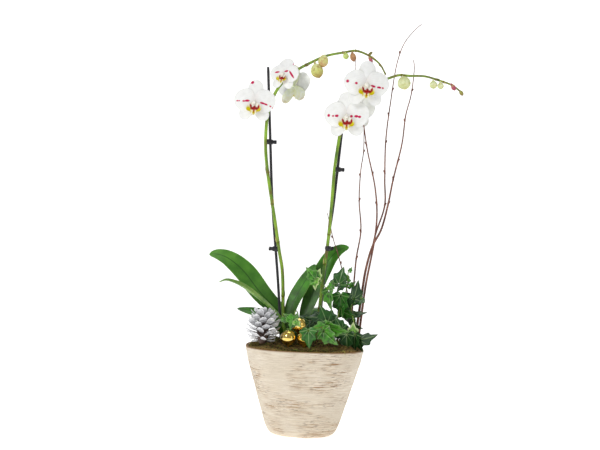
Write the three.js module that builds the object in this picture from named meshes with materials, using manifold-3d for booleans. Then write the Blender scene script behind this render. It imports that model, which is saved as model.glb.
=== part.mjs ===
// Potted orchid arrangement: two phalaenopsis plants on stakes in a squarish ceramic
// planter, with trailing ivy, bare twigs, a silver pine cone and gold baubles.
// Millimetres, +Z up, front towards -Y. The origin is the centre of the planter's underside.

import * as THREE from 'three';
import Module from 'manifold-3d';

const wasm = await Module();
wasm.setup();

// ---- Driving dimensions ----

const clearance = 0.3;
const planterHeight = 174;
const rimHalfWidth = 118.5;
const wallThickness = 5.5;
const floorThickness = 7;
const soilTop = 160;
const mossRise = 22;
const stakeRadius = 2.75;
const flowerSpan = 42;
const baubleRadius = 15;
const planterSides = 34;
const facetTolerance = 0.08;
const tipCrowding = 1.35;
const jointLength = 0.007;
const startAcross = [0.31, 0.95, 0.05];

// The planter's outside: height against half width, from the foot to the rim.
const planterProfile = [
  [0, 56], [1.8, 62], [6, 67.5], [13, 71.5], [33, 78.5], [92, 96.5], [146, 113.5], [171, 118.2],
];

// ---- Small tools ----

const point = (x, y, z) => new THREE.Vector3(x, y, z);
const degrees = THREE.MathUtils.degToRad;
const smoothCurve = (route) => (
  new THREE.CatmullRomCurve3(route.map((p) => point(...p)), false, 'centripetal')
);
const taper = (from, to) => (u) => THREE.MathUtils.lerp(from, to, u);

// A function that runs straight between [position, value] pairs given in rising order.
function profile(pairs) {
  return (u) => {
    const next = pairs.findIndex(([at]) => at >= u);
    if (next <= 0) {
      return pairs[next < 0 ? pairs.length - 1 : 0][1];
    }
    const [low, from] = pairs[next - 1];
    const [high, to] = pairs[next];
    return THREE.MathUtils.lerp(from, to, (u - low) / (high - low));
  };
}

// A closed solid from points and triangles, turned so that its faces point out.
function solid(points, faces) {
  let volume = 0;
  for (const [a, b, c] of faces) {
    volume += points[a].dot(points[b].clone().cross(points[c]));
  }
  const turned = volume < 0 ? faces.map(([a, b, c]) => [a, c, b]) : faces;
  return new wasm.Manifold(new wasm.Mesh({
    numProp: 3,
    vertProperties: new Float32Array(points.flatMap((p) => p.toArray())),
    triVerts: new Uint32Array(turned.flat()),
  }));
}

// A closed skin over rings that have the same number of points.
function loft(rings) {
  const count = rings[0].length;
  const last = (rings.length - 1) * count;
  const faces = [];
  for (let start = 0; start < last; start += count) {
    for (let i = 0; i < count; i++) {
      const a = start + i;
      const b = start + (i + 1) % count;
      faces.push([a, b, a + count], [b, b + count, a + count]);
    }
  }
  for (let i = 1; i + 1 < count; i++) {
    faces.push([0, i + 1, i], [last, last + i, last + i + 1]);
  }
  return solid(rings.flat(), faces);
}

// A round stem along a route. Joints are places where the stem swells into a ring.
function tube(route, radius, { sides = 7, steps = 12, joints = [], swell = 0.9 } = {}, grow = 0) {
  const curve = smoothCurve(route);
  const stations = Array.from({ length: steps + 1 }, (_, i) => [i / steps, 0]);
  for (const joint of joints) {
    stations.push([joint - jointLength, 0.1], [joint, swell], [joint + jointLength, 0.1]);
  }
  stations.sort((a, b) => a[0] - b[0]);
  let across = point(...startAcross);
  return loft(stations.map(([u, extra]) => {
    const centre = curve.getPointAt(u);
    const along = curve.getTangentAt(u);
    across = across.clone().addScaledVector(along, -across.dot(along)).normalize();
    const other = along.clone().cross(across);
    const size = radius(u) + extra + grow;
    return Array.from({ length: sides }, (_, i) => {
      const turn = (i / sides) * Math.PI * 2;
      return centre.clone()
        .addScaledVector(across, size * Math.cos(turn))
        .addScaledVector(other, size * Math.sin(turn));
    });
  }));
}

// A leaf or petal: a thin plate along a route, with its upper side turned to `facing`.
// It has sharp edges. A grown plate, which is only used to cut, has blunt ones. The rings
// crowd together towards the tip.
function blade({ route, facing, halfWidth, thickness, fold = 0, steps = 9, fine = true }, grow = 0) {
  const curve = smoothCurve(route);
  const across = fine ? [-1, -0.5, 0, 0.5, 1] : [-1, 0, 1];
  const rings = [];
  for (let i = 0; i <= steps; i++) {
    const u = 1 - (1 - i / steps) ** tipCrowding;
    const centre = curve.getPointAt(u);
    const along = curve.getTangentAt(u);
    const side = along.clone().cross(point(...facing)).normalize();
    const up = side.clone().cross(along).normalize();
    const half = halfWidth(u) + grow;
    const at = (s, face) => centre.clone()
      .addScaledVector(side, half * s)
      .addScaledVector(up, half * fold * Math.abs(s))
      .addScaledVector(up, face * ((thickness / 2) * (1 - s * s) + grow));
    const under = grow > 0 ? across : across.slice(1, -1);
    rings.push([...across.map((s) => at(s, 1)), ...[...under].reverse().map((s) => at(s, -1))]);
  }
  return loft(rings);
}

// An egg-shaped body from `from` to `to`, fattest at `widest` of its length.
function egg(from, to, radius, { sides = 8, steps = 7, widest = 0.5, blunt = 0.25 } = {}, grow = 0) {
  const start = point(...from);
  const axis = point(...to).sub(start);
  const reach = axis.clone().normalize().multiplyScalar(grow);
  const width = profile([
    [0, blunt], [widest * 0.35, 0.72], [widest * 0.7, 0.95], [widest, 1],
    [widest + (1 - widest) * 0.45, 0.86], [widest + (1 - widest) * 0.8, 0.5], [1, blunt * 0.5],
  ]);
  const route = [start.sub(reach), start.clone().add(axis).addScaledVector(reach, 2)];
  return tube(route.map((p) => p.toArray()), (u) => radius * width(u), { sides, steps }, grow);
}

const join = (bodies) => wasm.Manifold.union(bodies);

// ---- Placing the pieces ----

const arrangement = new THREE.Group();
arrangement.name = 'potted_orchid';

// Grown copies of the pieces made so far. Each later piece is cut back from them.
const cutters = [];

function boxesMeet(a, b) {
  const first = a.boundingBox();
  const second = b.boundingBox();
  return [0, 1, 2].every((i) => first.min[i] <= second.max[i] && second.min[i] <= first.max[i]);
}

function largest(body) {
  const bodies = body.decompose();
  bodies.sort((a, b) => b.volume() - a.volume());
  return bodies[0];
}

function toGeometry(body) {
  const mesh = body.getMesh();
  const geometry = new THREE.BufferGeometry();
  geometry.setAttribute('position', new THREE.BufferAttribute(new Float32Array(mesh.vertProperties), 3));
  geometry.setIndex(new THREE.BufferAttribute(new Uint32Array(mesh.triVerts), 1));
  geometry.computeVertexNormals();
  return geometry;
}

// Adds one piece. Its shape is given in the arrangement's frame and stored about `place`,
// which is a position or, for the parts of a flower, the flower's own group.
function addPiece(name, body, grown, finish, place = [0, 0, 0]) {
  let cut = body;
  for (const cutter of cutters) {
    if (boxesMeet(cut, cutter)) {
      cut = cut.subtract(cutter);
    }
  }
  cut = largest(cut.simplify(facetTolerance));
  cutters.push(grown);
  const [colour, roughness, metalness] = finish;
  const material = new THREE.MeshStandardMaterial({ color: colour, roughness, metalness });
  const holder = Array.isArray(place) ? arrangement : place;
  const shift = new THREE.Matrix4();
  if (holder === arrangement) {
    shift.makeTranslation(...place);
  } else {
    shift.copy(place.matrixWorld);
  }
  const local = cut.transform([...shift.clone().invert().elements]);
  const mesh = new THREE.Mesh(toGeometry(local), material);
  mesh.name = name;
  if (holder === arrangement) {
    mesh.position.set(...place);
  }
  holder.add(mesh);
}

// Adds a piece whose builder takes the growth as its only argument.
function addGrown(name, build, finish, place) {
  addPiece(name, build(0), build(clearance), finish, place);
}

// ---- Finishes: colour, roughness, metalness ----

const finishes = {
  ceramic: ['#dfd2bb', 0.8, 0],
  soil: ['#3a2a1e', 0.95, 0],
  moss: ['#6b6433', 0.95, 0],
  leaf: ['#467829', 0.42, 0],
  darkLeaf: ['#2c4d1c', 0.45, 0],
  stem: ['#6f9a2e', 0.5, 0],
  stake: ['#1c1a20', 0.5, 0],
  clip: ['#17161a', 0.35, 0],
  petal: ['#f1f0ee', 0.6, 0],
  sepal: ['#ecefe2', 0.6, 0],
  lip: ['#c9a23a', 0.55, 0],
  bud: ['#c9cf7a', 0.55, 0],
  budTan: ['#b59a58', 0.6, 0],
  budRed: ['#b5526a', 0.55, 0],
  ivy: ['#35632b', 0.5, 0],
  ivyYoung: ['#5fa53a', 0.5, 0],
  twig: ['#7a4a3c', 0.8, 0],
  cone: ['#bcbcbc', 0.45, 0.5],
  gold: ['#d9a63a', 0.18, 0.9],
  wire: ['#7c6a35', 0.4, 0.8],
};

// ---- Planter ----

const outerHalf = profile(planterProfile);
const innerHalf = (z) => outerHalf(z) - wallThickness;

// A level outline between a circle and a square: round at the foot, squarer at the rim.
function planterRing(half, z) {
  const exponent = THREE.MathUtils.lerp(2, 2.6, z / planterHeight);
  const bend = (value) => Math.sign(value) * Math.abs(value) ** (2 / exponent);
  return Array.from({ length: planterSides }, (_, i) => {
    const turn = ((i + 0.5) / planterSides) * Math.PI * 2;
    return point(half * bend(Math.cos(turn)), half * bend(Math.sin(turn)), z);
  });
}

function planterShell() {
  const outside = planterProfile.map(([z, half]) => planterRing(half, z));
  const rim = [
    planterRing(rimHalfWidth - 0.9, planterHeight - 0.8),
    planterRing(rimHalfWidth - 2.5, planterHeight),
    planterRing(rimHalfWidth - wallThickness + 0.9, planterHeight - 0.5),
  ];
  const inside = [171, 146, 92, 33].map((z) => planterRing(innerHalf(z), z));
  const bottom = planterRing(innerHalf(floorThickness + 8) - 4, floorThickness);
  return loft([...outside, ...rim, ...inside, bottom]);
}

const filling = loft([
  planterRing(innerHalf(floorThickness + 8) - 4 - clearance, floorThickness + clearance),
  ...[33, 92, 146].map((z) => planterRing(innerHalf(z) - clearance, z)),
  planterRing(innerHalf(soilTop) - clearance, soilTop),
]);

addPiece('planter', planterShell(), planterShell(), finishes.ceramic);

// ---- Stakes, crowns and flower spikes ----

const stakeRoutes = {
  left: [
    [-42, 22, 62], [-48, 22, 179], [-58, 22, 293], [-66, 22, 364], [-76, 22, 454], [-88, 22, 617],
    [-96, 22, 732],
  ],
  right: [
    [26, 26, 66], [27, 26, 181], [33, 26, 297], [40, 26, 398], [46, 26, 449], [58, 26, 605], [64, 26, 672],
  ],
};

for (const [side, route] of Object.entries(stakeRoutes)) {
  const build = (grow) => tube(route, () => stakeRadius, { sides: 8, steps: 7 }, grow);
  addGrown(`${side}_stake`, build, finishes.stake, [route[1][0], route[1][1], 0]);
}

const crowns = { left: [-36, 7], right: [4, 15] };

for (const [side, [x, y]] of Object.entries(crowns)) {
  const girth = profile([[0, 6], [0.35, 10], [0.75, 11], [1, 7.5]]);
  const route = [[x, y, 142], [x, y, 176], [x, y, 208]];
  const build = (grow) => tube(route, girth, { sides: 9, steps: 6 }, grow);
  addGrown(`orchid_crown_${side}`, build, finishes.stem, [x, y, 0]);
}

const spikes = {
  left: {
    route: [
      [-40, 9, 178], [-44, 10, 212], [-46, 12, 242], [-51, 14, 324], [-59, 15, 364], [-70, 15, 424],
      [-78, 15, 464],
      [-89, 15, 524], [-94, 15, 564], [-95, 15, 604], [-92, 14, 640], [-78, 8, 681], [-63, 4, 703],
      [-41, 0, 723],
      [-12, -4, 740], [19, -5, 755], [57, -6, 764], [79, -4, 768], [105, 0, 760], [128, 4, 744],
      [141, 8, 724],
    ],
    joints: [0.12, 0.26, 0.36, 0.445],
  },
  right: {
    route: [
      [17, 15, 176], [22, 16, 200], [26, 18, 236], [32, 19, 317], [39, 19, 388], [43, 19, 459],
      [46, 19, 530],
      [50, 19, 570], [55, 20, 607], [63, 22, 641], [78, 24, 675], [101, 24, 700], [122, 20, 711],
      [142, 14, 716],
      [167, 6, 724], [189, 2, 723], [219, 0, 723], [249, -3, 715], [273, -4, 707], [292, -4, 694],
    ],
    joints: [0.1, 0.22, 0.3, 0.57],
  },
};

const spikeGirth = profile([[0, 3.4], [0.45, 3.3], [0.62, 3.2], [0.78, 2.7], [1, 1.7]]);

// Tiny unopened tip buds grow straight out of a spike and are part of it.
const tipBuds = {
  left: [
    [[104, 0, 760], [112, 0, 768], 3],
    [[105, 0, 758], [113, 0, 746], 3.6],
    [[126, 4, 746], [131, 3, 739], 2.6],
  ],
  right: [[[289, -4, 697], [296, -4, 687], 4]],
};

for (const [side, { route, joints }] of Object.entries(spikes)) {
  const build = (grow) => join([
    tube(route, spikeGirth, { sides: 6, steps: 22, joints }, grow),
    ...tipBuds[side].map(([from, to, radius]) => egg(from, to, radius, { sides: 6, steps: 4 }, grow)),
  ]);
  addGrown(`${side}_flower_spike`, build, finishes.stem, [route[0][0], route[0][1], 0]);
}

// ---- Stake clips: one block around a stake and a spike, with two finger wings ----

// Its own +x runs from the stake to the spike, and the wings stand behind the stake.

const clipHeight = 10;
const clipReach = 4.2;
const clipRadius = 5.2;
const arcSteps = 5;

function stakeClip([x, y, z], heading, grow) {
  const outline = [];
  for (const end of [1, -1]) {
    for (let i = 0; i <= arcSteps; i++) {
      const turn = degrees(-90 * end + (i / arcSteps) * 180);
      const radius = clipRadius + grow;
      outline.push([end * clipReach + radius * Math.cos(turn), radius * Math.sin(turn)]);
    }
  }
  const level = (points, height) => points.map(([a, b]) => point(a, b, height));
  const tall = clipHeight / 2 + grow;
  const band = loft([level(outline, -tall), level(outline, tall)]);
  const wings = [1, -1].map((side) => {
    const wing = [[-6, side * 3], [-13, side * 8.5], [-14.5, side * 7], [-8, side * 1]];
    return loft([level(wing, 1 - tall), level(wing, tall - 1)]);
  });
  const turned = new THREE.Matrix4().makeRotationZ(degrees(heading)).setPosition(x, y, z);
  return join([band, ...wings]).transform([...turned.elements]);
}

const clips = {
  clip_left_upper: [[-90.5, 18.5, 581], -141],
  clip_left_lower: [[-62.5, 18.5, 366], -45],
  clip_right_upper: [[49, 22.5, 531], -131],
  clip_right_lower: [[38, 22.5, 371], -100],
};

for (const [name, [centre, heading]] of Object.entries(clips)) {
  addGrown(name, (grow) => stakeClip(centre, heading, grow), finishes.clip, centre);
}

// ---- Pine cone ----

const coneFoot = [-83, -74, 180];
const coneTip = [-83, -60, 255];
const coneRadius = 32;
const coneCoreRadius = 17;
const coneScales = 34;
const coneShape = { widest: 0.35, blunt: 0.6 };
const goldenTurn = 2.39996;

function pineCone() {
  const foot = point(...coneFoot);
  const axis = point(...coneTip).sub(foot);
  const length = axis.length();
  const spin = new THREE.Quaternion().setFromUnitVectors(point(0, 0, 1), axis.normalize());
  const reach = profile([[0, 0.62], [0.15, 0.92], [0.35, 1], [0.6, 0.82], [0.85, 0.48], [1, 0.26]]);
  const bodies = [egg([0, 0, 1], [0, 0, length - 4], coneCoreRadius, { sides: 8, ...coneShape })];
  for (let i = 0; i < coneScales; i++) {
    const rise = (i + 0.5) / coneScales;
    const turn = i * goldenTurn;
    const out = point(Math.cos(turn), Math.sin(turn), 0);
    const side = point(-Math.sin(turn), Math.cos(turn), 0);
    const lift = THREE.MathUtils.lerp(0.15, 1.1, rise);
    const root = 3 + rise * (length - 18);
    const span = coneRadius * reach(rise);
    const plate = (distance, half, thick) => {
      const middle = point(0, 0, root + lift * distance * 0.5).addScaledVector(out, distance);
      return [[-1, 0], [0, 1], [1, 0], [0, -1]].map(([s, h]) => middle.clone()
        .addScaledVector(side, s * half)
        .add(point(0, 0, h * thick)));
    };
    const wide = 4 + 7.5 * reach(rise);
    bodies.push(loft([plate(8, wide * 0.5, 2), plate(span * 0.84, wide, 3.6), plate(span, wide * 0.5, 2)]));
  }
  const placed = new THREE.Matrix4().makeRotationFromQuaternion(spin).setPosition(foot);
  return join(bodies).transform([...placed.elements]);
}

const coneEnvelope = egg(coneFoot, coneTip, coneRadius + 0.5, { sides: 12, ...coneShape }, clearance);
addPiece('pine_cone', pineCone(), coneEnvelope, finishes.cone, coneFoot);

// ---- Baubles and their wire pick ----

const baubles = {
  bauble_left: [-33, -80, 197],
  bauble_right: [-1, -80, 197],
  bauble_upper: [-14, -57, 221],
};

const capRadius = 3;
const capHeight = 2.6;

function bauble([x, y, z], grow) {
  const radius = baubleRadius + grow;
  const rings = [];
  for (let i = 0; i < 9; i++) {
    const slope = degrees(-80 + i * 20);
    rings.push(Array.from({ length: 14 }, (_, k) => {
      const turn = (k / 14) * Math.PI * 2;
      const across = radius * Math.cos(slope);
      return point(x + across * Math.cos(turn), y + across * Math.sin(turn), z + radius * Math.sin(slope));
    }));
  }
  const capRoute = [[x, y, z - radius + 1], [x, y, z - radius - capHeight]];
  return join([loft(rings), tube(capRoute, () => capRadius + grow, { sides: 8, steps: 1 })]);
}

for (const [name, centre] of Object.entries(baubles)) {
  addGrown(name, (grow) => bauble(centre, grow), finishes.gold, centre);
}

const wires = [
  [[-15, -66, 162], [-16, -66, 172], [-24, -72, 176.5], [-33, -80, 178]],
  [[-15, -66, 164], [-14, -66, 173], [-8, -72, 176.5], [-1, -80, 178]],
  [[-15, -66, 162], [-15, -64, 178], [-14, -58, 192], [-14, -57, 202]],
];
const wireRadius = 0.8;

addGrown('bauble_wire_pick', (grow) => (
  join(wires.map((route) => tube(route, () => wireRadius, { sides: 4, steps: 5 }, grow)))
), finishes.wire, wires[0][0]);

// ---- Twigs ----

const twigs = {
  twig_forked: [
    {
      route: [
        [94, 41, 142], [102, 45, 187], [111, 45, 268], [119, 45, 334], [131, 45, 381], [146, 44, 412],
        [158, 40, 464], [166, 36, 515], [181, 32, 590], [186, 30, 647], [195, 28, 688], [199, 26, 744],
        [197, 25, 758],
      ],
      girth: [3.2, 0.8],
      knobs: [0.53, 0.61, 0.67, 0.8],
    },
    {
      route: [
        [131, 45, 381], [136, 46, 406], [152, 50, 462], [150, 50, 515], [149, 50, 596], [155, 50, 668],
        [167, 50, 760], [180, 46, 797], [201, 42, 824], [212, 40, 834],
      ],
      girth: [1.9, 0.7],
      knobs: [0.18, 0.45, 0.68],
    },
  ],
  twig_tall: [
    {
      route: [
        [103, 31, 146], [108, 33, 186], [119, 34, 299], [133, 34, 391], [136, 34, 443], [130, 34, 498],
        [111, 34, 575], [98, 34, 646], [80, 34, 738], [80, 34, 754],
      ],
      girth: [2.7, 0.7],
      knobs: [0.52, 0.72, 0.81],
    },
  ],
  twig_short: [
    {
      route: [
        [87, 55, 144], [93, 60, 189], [96, 60, 298], [99, 60, 353], [106, 60, 409], [100, 60, 472],
        [101, 60, 534], [105, 60, 571], [103, 60, 640],
      ],
      girth: [2.3, 0.7],
      knobs: [0.53, 0.66, 0.86],
    },
    {
      route: [[95, 60, 236], [82, 50, 287], [63, 38, 352], [49, 32, 392], [42, 30, 418], [35, 30, 443]],
      girth: [1.4, 0.6],
      knobs: [0.76],
    },
  ],
};

// A bare branch, which swells a little at each knob.
function branch({ route, girth, knobs }, grow) {
  return tube(route, taper(...girth), { sides: 5, steps: 12, joints: knobs, swell: 1.2 }, grow);
}

for (const [name, branches] of Object.entries(twigs)) {
  const [foot] = branches[0].route;
  addGrown(name, (grow) => join(branches.map((one) => branch(one, grow))), finishes.twig, foot);
}

// ---- Orchid leaves ----

const leafShape = profile([
  [0, 0.4], [0.25, 0.72], [0.55, 1], [0.78, 0.86], [0.9, 0.6], [0.97, 0.3], [1, 0.04],
]);

const leaves = {
  leaf_left_arching: {
    route: [
      [-33, 16, 194], [-39, 31, 216], [-52, 38, 236], [-72, 37, 254], [-91, 34, 272], [-108, 32, 292],
      [-125, 32, 313],
      [-146, 34, 332], [-167, 37, 345], [-186, 40, 350], [-201, 42, 349],
    ],
    facing: [0.2, -1, 0.5],
    width: 24.5,
    fold: 0.12,
    finish: finishes.leaf,
  },
  leaf_left_channelled: {
    route: [
      [-38, 0, 194], [-50, -6, 226], [-70, -10, 246], [-88, -12, 260], [-108, -18, 275], [-127, -24, 288],
      [-145, -28, 297], [-161, -30, 301], [-174, -30, 297],
    ],
    facing: [0.5, -0.16, 1],
    width: 16,
    fold: 0.3,
    finish: finishes.leaf,
  },
  leaf_left_low: {
    route: [[-43, 3, 191], [-58, 2, 214], [-76, 6, 227], [-104, 18, 236], [-139, 30, 242]],
    facing: [0.1, -0.55, 1],
    width: 17,
    finish: finishes.darkLeaf,
  },
  leaf_left_upright: {
    route: [[-32, 9, 196], [-32, 16, 236], [-24, 23, 264], [-12, 30, 288], [1, 38, 311], [16, 45, 337]],
    facing: [-0.4, -1, 0.1],
    width: 16,
    finish: finishes.darkLeaf,
  },
  leaf_left_rear: {
    route: [[-30, 16, 192], [-24, 42, 213], [-21, 74, 225], [-21, 102, 218], [-22, 126, 200]],
    facing: [0, -0.2, 1],
    width: 23,
    finish: finishes.leaf,
  },
  leaf_right_tall: {
    route: [
      [1, 20, 196], [-1, 28, 232], [8, 38, 266], [18, 43, 294], [33, 46, 328], [47, 48, 353],
      [64, 50, 369], [83, 52, 375],
    ],
    facing: [-0.25, -1, 0.1],
    width: 19,
    finish: finishes.darkLeaf,
  },
  leaf_right_low: {
    route: [[12, 22, 192], [30, 48, 206], [54, 76, 214], [78, 98, 208], [96, 112, 192]],
    facing: [-0.1, -0.15, 1],
    width: 20,
    finish: finishes.darkLeaf,
  },
  leaf_right_rear: {
    route: [[6, 26, 194], [9, 50, 226], [12, 80, 244], [14, 110, 240], [15, 136, 220]],
    facing: [0, -0.2, 1],
    width: 23,
    finish: finishes.leaf,
  },
};

for (const [name, { route, facing, width, fold = 0.16, finish }] of Object.entries(leaves)) {
  const halfWidth = (u) => width * leafShape(u);
  const build = (grow) => blade({ route, facing, halfWidth, thickness: 1.8, fold, steps: 10 }, grow);
  addGrown(name, build, finish, route[0]);
}

// ---- Flowers ----

const sepalShape = profile([[0, 0.34], [0.25, 0.7], [0.55, 1], [0.8, 0.9], [0.93, 0.6], [1, 0.12]]);
const petalShape = profile([
  [0, 0.34], [0.14, 0.73], [0.38, 1.04], [0.6, 0.98], [0.8, 0.77], [0.93, 0.48], [1, 0.1],
]);

// The tip of each sepal, as shares of the span, and its half width.
function sepals(grow, dorsalHalf = 16.5) {
  const tips = [[0, 1.12, dorsalHalf], [-0.62, -0.78, 14], [0.62, -0.78, 14]];
  return join(tips.map(([across, up, half]) => blade({
    route: [
      [0, 0, 0],
      [across * flowerSpan * 0.5, up * flowerSpan * 0.5, -0.6],
      [across * flowerSpan, up * flowerSpan, -3],
    ],
    facing: [0, 0, 1],
    halfWidth: (u) => half * sepalShape(u),
    thickness: 0.9,
    steps: 5,
    fine: false,
  }, grow)));
}

function petals(grow) {
  return join([1, -1].map((side) => blade({
    route: [[-side, 1, 1.9], [side * 18, 5, 1.7], [side * flowerSpan, 8, -0.6]],
    facing: [0, 0, 1],
    halfWidth: (u) => 23 * petalShape(u),
    thickness: 0.9,
    steps: 7,
    fine: false,
  }, grow)));
}

// The lip: a short column, two side lobes that curl up beside it and a hanging front lobe.
function lip(grow) {
  const column = tube([[0, 3, 4.3], [0, 1, 8], [0, -3, 11]], profile([[0, 2.8], [0.6, 3.6], [1, 2.2]]), {
    sides: 5, steps: 3,
  }, grow);
  const sideLobes = [1, -1].map((side) => blade({
    route: [[0, 0, 4.8], [side * 6, -8, 8], [side * 13, -17, 10.5]],
    facing: [-side * 0.3, 0.2, 0.9],
    halfWidth: (u) => 7.5 * sepalShape(u),
    thickness: 1,
    steps: 3,
    fine: false,
  }, grow));
  const frontLobe = blade({
    route: [[0, 0, 4.8], [0, -13, 9], [0, -26, 8]],
    facing: [0, 0.3, 1],
    halfWidth: profile([[0, 3], [0.35, 4.4], [0.7, 8], [0.88, 5], [1, 0.8]]),
    thickness: 1.4,
    steps: 4,
    fine: false,
  }, grow);
  return join([column, ...sideLobes, frontLobe]);
}

// Each flower's centre, turn about the vertical, upward tilt and roll in degrees, size, and
// the route of its stalk from the spike to just behind the flower.
const flowers = {
  flower_left_low: {
    centre: [-119, -10, 655], turn: -5, tilt: 2, roll: -2, size: 1,
    stalk: [[-94, 14, 625], [-102, 12, 642]],
  },
  flower_left_high: {
    centre: [-63, -16, 712], turn: -28, tilt: 12, roll: -4, size: 0.77, dorsalHalf: 23,
    stalk: [[-73, 7, 689], [-71, -4, 697]],
  },
  flower_left_turned: {
    centre: [-42, 24, 695], turn: 145, tilt: -8, roll: -8, size: 0.95,
    stalk: [[-61, 4, 705], [-56, 10, 702]],
  },
  flower_right_high: {
    centre: [101, -28, 696], turn: 4, tilt: 3, roll: -3, size: 1.08,
    stalk: [[88, 24, 688], [96, 6, 690]],
  },
  flower_right_low: {
    centre: [65, -12, 634], turn: -6, tilt: 0, roll: 2, size: 1.08,
    stalk: [[57, 20, 614], [62, 8, 622]],
  },
  flower_right_turned: {
    centre: [84, 62, 655], turn: 168, tilt: -4, roll: 0, size: 1,
    stalk: [[68, 22, 655], [74, 36, 650]],
  },
};

for (const [name, { centre, turn, tilt, roll, size, dorsalHalf, stalk }] of Object.entries(flowers)) {
  const flower = new THREE.Group();
  flower.name = name;
  flower.position.set(...centre);
  flower.rotation.z = degrees(turn);
  const head = new THREE.Group();
  head.rotation.set(Math.PI / 2 - degrees(tilt), 0, degrees(roll));
  flower.add(head);
  arrangement.add(flower);
  flower.updateMatrixWorld(true);
  const matrix = head.matrixWorld;
  const place = (shape, grow) => {
    const scaled = shape(grow).scale([size, size, size]);
    return scaled.transform([...matrix.elements]);
  };
  const behind = [-7, -0.4].map((z) => point(0, 0, z * size).applyMatrix4(matrix).toArray());
  const stalkBody = (grow) => tube([...stalk, ...behind], profile([[0, 1.5], [0.8, 1.7], [1, 3]]), {
    sides: 5, steps: 6,
  }, grow);
  const sepalSet = (grow) => sepals(grow, dorsalHalf);
  const parts = [
    ['sepals', (grow) => join([place(sepalSet, grow), stalkBody(grow)]), finishes.sepal],
    ['petals', (grow) => place(petals, grow), finishes.petal],
    ['lip', (grow) => place(lip, grow), finishes.lip],
  ];
  for (const [part, build, finish] of parts) {
    addGrown(`${name}_${part}`, build, finish, head);
  }
}

// ---- Flower buds: where each leaves the spike, its base, its tip, its radius and finish ----

const buds = {
  bud_left_1: [[-3, -5, 746], [-2, -9, 738], [8, -10, 710], 12.5, finishes.bud],
  bud_left_2: [[17, -5, 754], [16, -11, 756], [13, -14, 731], 10.3, finishes.budTan],
  bud_left_3: [[57, -6, 764], [58, -10, 762], [60, -12, 749], 6, finishes.bud],
  bud_left_4: [[73, -5, 766], [71, -9, 763], [76, -13, 745], 6.2, finishes.budTan],
  bud_right_1: [[172, 5, 724], [175, 3, 721], [181, 0, 695], 13.5, finishes.bud],
  bud_right_2: [[236, -2, 718], [235, -4, 714], [237, -6, 698], 8, finishes.bud],
  bud_right_3: [[250, -3, 715], [249, -5, 711], [252, -6, 698], 6.5, finishes.bud],
  bud_right_4: [[270, -4, 709], [272, -10, 708], [279, -11, 696], 4.6, finishes.budRed],
};

for (const [name, [root, base, tip, radius, finish]] of Object.entries(buds)) {
  const build = (grow) => join([
    tube([root, base], () => 1.4, { sides: 6, steps: 1 }, grow),
    egg(base, tip, radius, { steps: 6, widest: 0.55, blunt: 0.3 }, grow),
  ]);
  addGrown(name, build, finish, base);
}

// ---- Ivy ----

// Half of a five-lobed leaf outline, from the stalk notch to the tip, for a leaf of length 1.
const ivyHalf = [[0.2, -0.12], [0.5, 0.06], [0.32, 0.26], [0.42, 0.5], [0.17, 0.62]];

const ivyStemSteps = 12;

// The place on a set of stems that is nearest to a leaf's base.
function nearestOn(stems, target) {
  const samples = stems.flatMap((route) => smoothCurve(route).getSpacedPoints(ivyStemSteps));
  samples.sort((a, b) => a.distanceTo(target) - b.distanceTo(target));
  return samples[0];
}

// A leaf and its stalk. Heading is the leaf's direction in the front plane, lean brings its
// tip forward, and roll turns it about its midrib.
function ivyLeaf(stems, [x, y, z, length, heading, lean, roll], grow) {
  const along = point(1, 0, 0)
    .applyAxisAngle(point(0, 0, 1), -degrees(lean))
    .applyAxisAngle(point(0, -1, 0), degrees(heading));
  const face = point(0, -1, 0);
  face.addScaledVector(along, -face.dot(along)).normalize().applyAxisAngle(along, degrees(roll));
  const side = along.clone().cross(face);
  const span = length + 2 * grow;
  const at = (across, forward, height) => point(x, y, z)
    .addScaledVector(along, forward * span)
    .addScaledVector(side, across * span * 0.95)
    .addScaledVector(face, height + span * (0.22 * Math.abs(across) - 0.2 * forward * forward));
  const outline = [
    [0, 0], ...ivyHalf, [0, 1], ...ivyHalf.map(([across, forward]) => [-across, forward]).reverse(),
  ];
  // A grown leaf has a thick edge, so that what it cuts clears the whole leaf.
  const count = outline.length;
  const edges = (grow > 0 ? [grow, -grow] : [0]).map((height) => outline.map((p) => at(...p, height)));
  const under = count * (edges.length - 1);
  const points = [...edges.flat(), at(0, 0.34, 0.6 + grow), at(0, 0.34, -0.6 - grow)];
  const faces = [];
  for (let i = 0; i < count; i++) {
    const next = (i + 1) % count;
    faces.push([i, next, points.length - 2], [under + next, under + i, points.length - 1]);
    if (under > 0) {
      faces.push([next, i, under + i], [next, under + i, under + next]);
    }
  }
  const root = nearestOn(stems, at(0, 0, 0));
  const stalkEnd = at(0, 0.2, 0);
  const stalk = tube([root.toArray(), stalkEnd.toArray()], () => 0.7, { sides: 3, steps: 1 }, grow);
  return join([solid(points, faces), stalk]);
}

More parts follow.
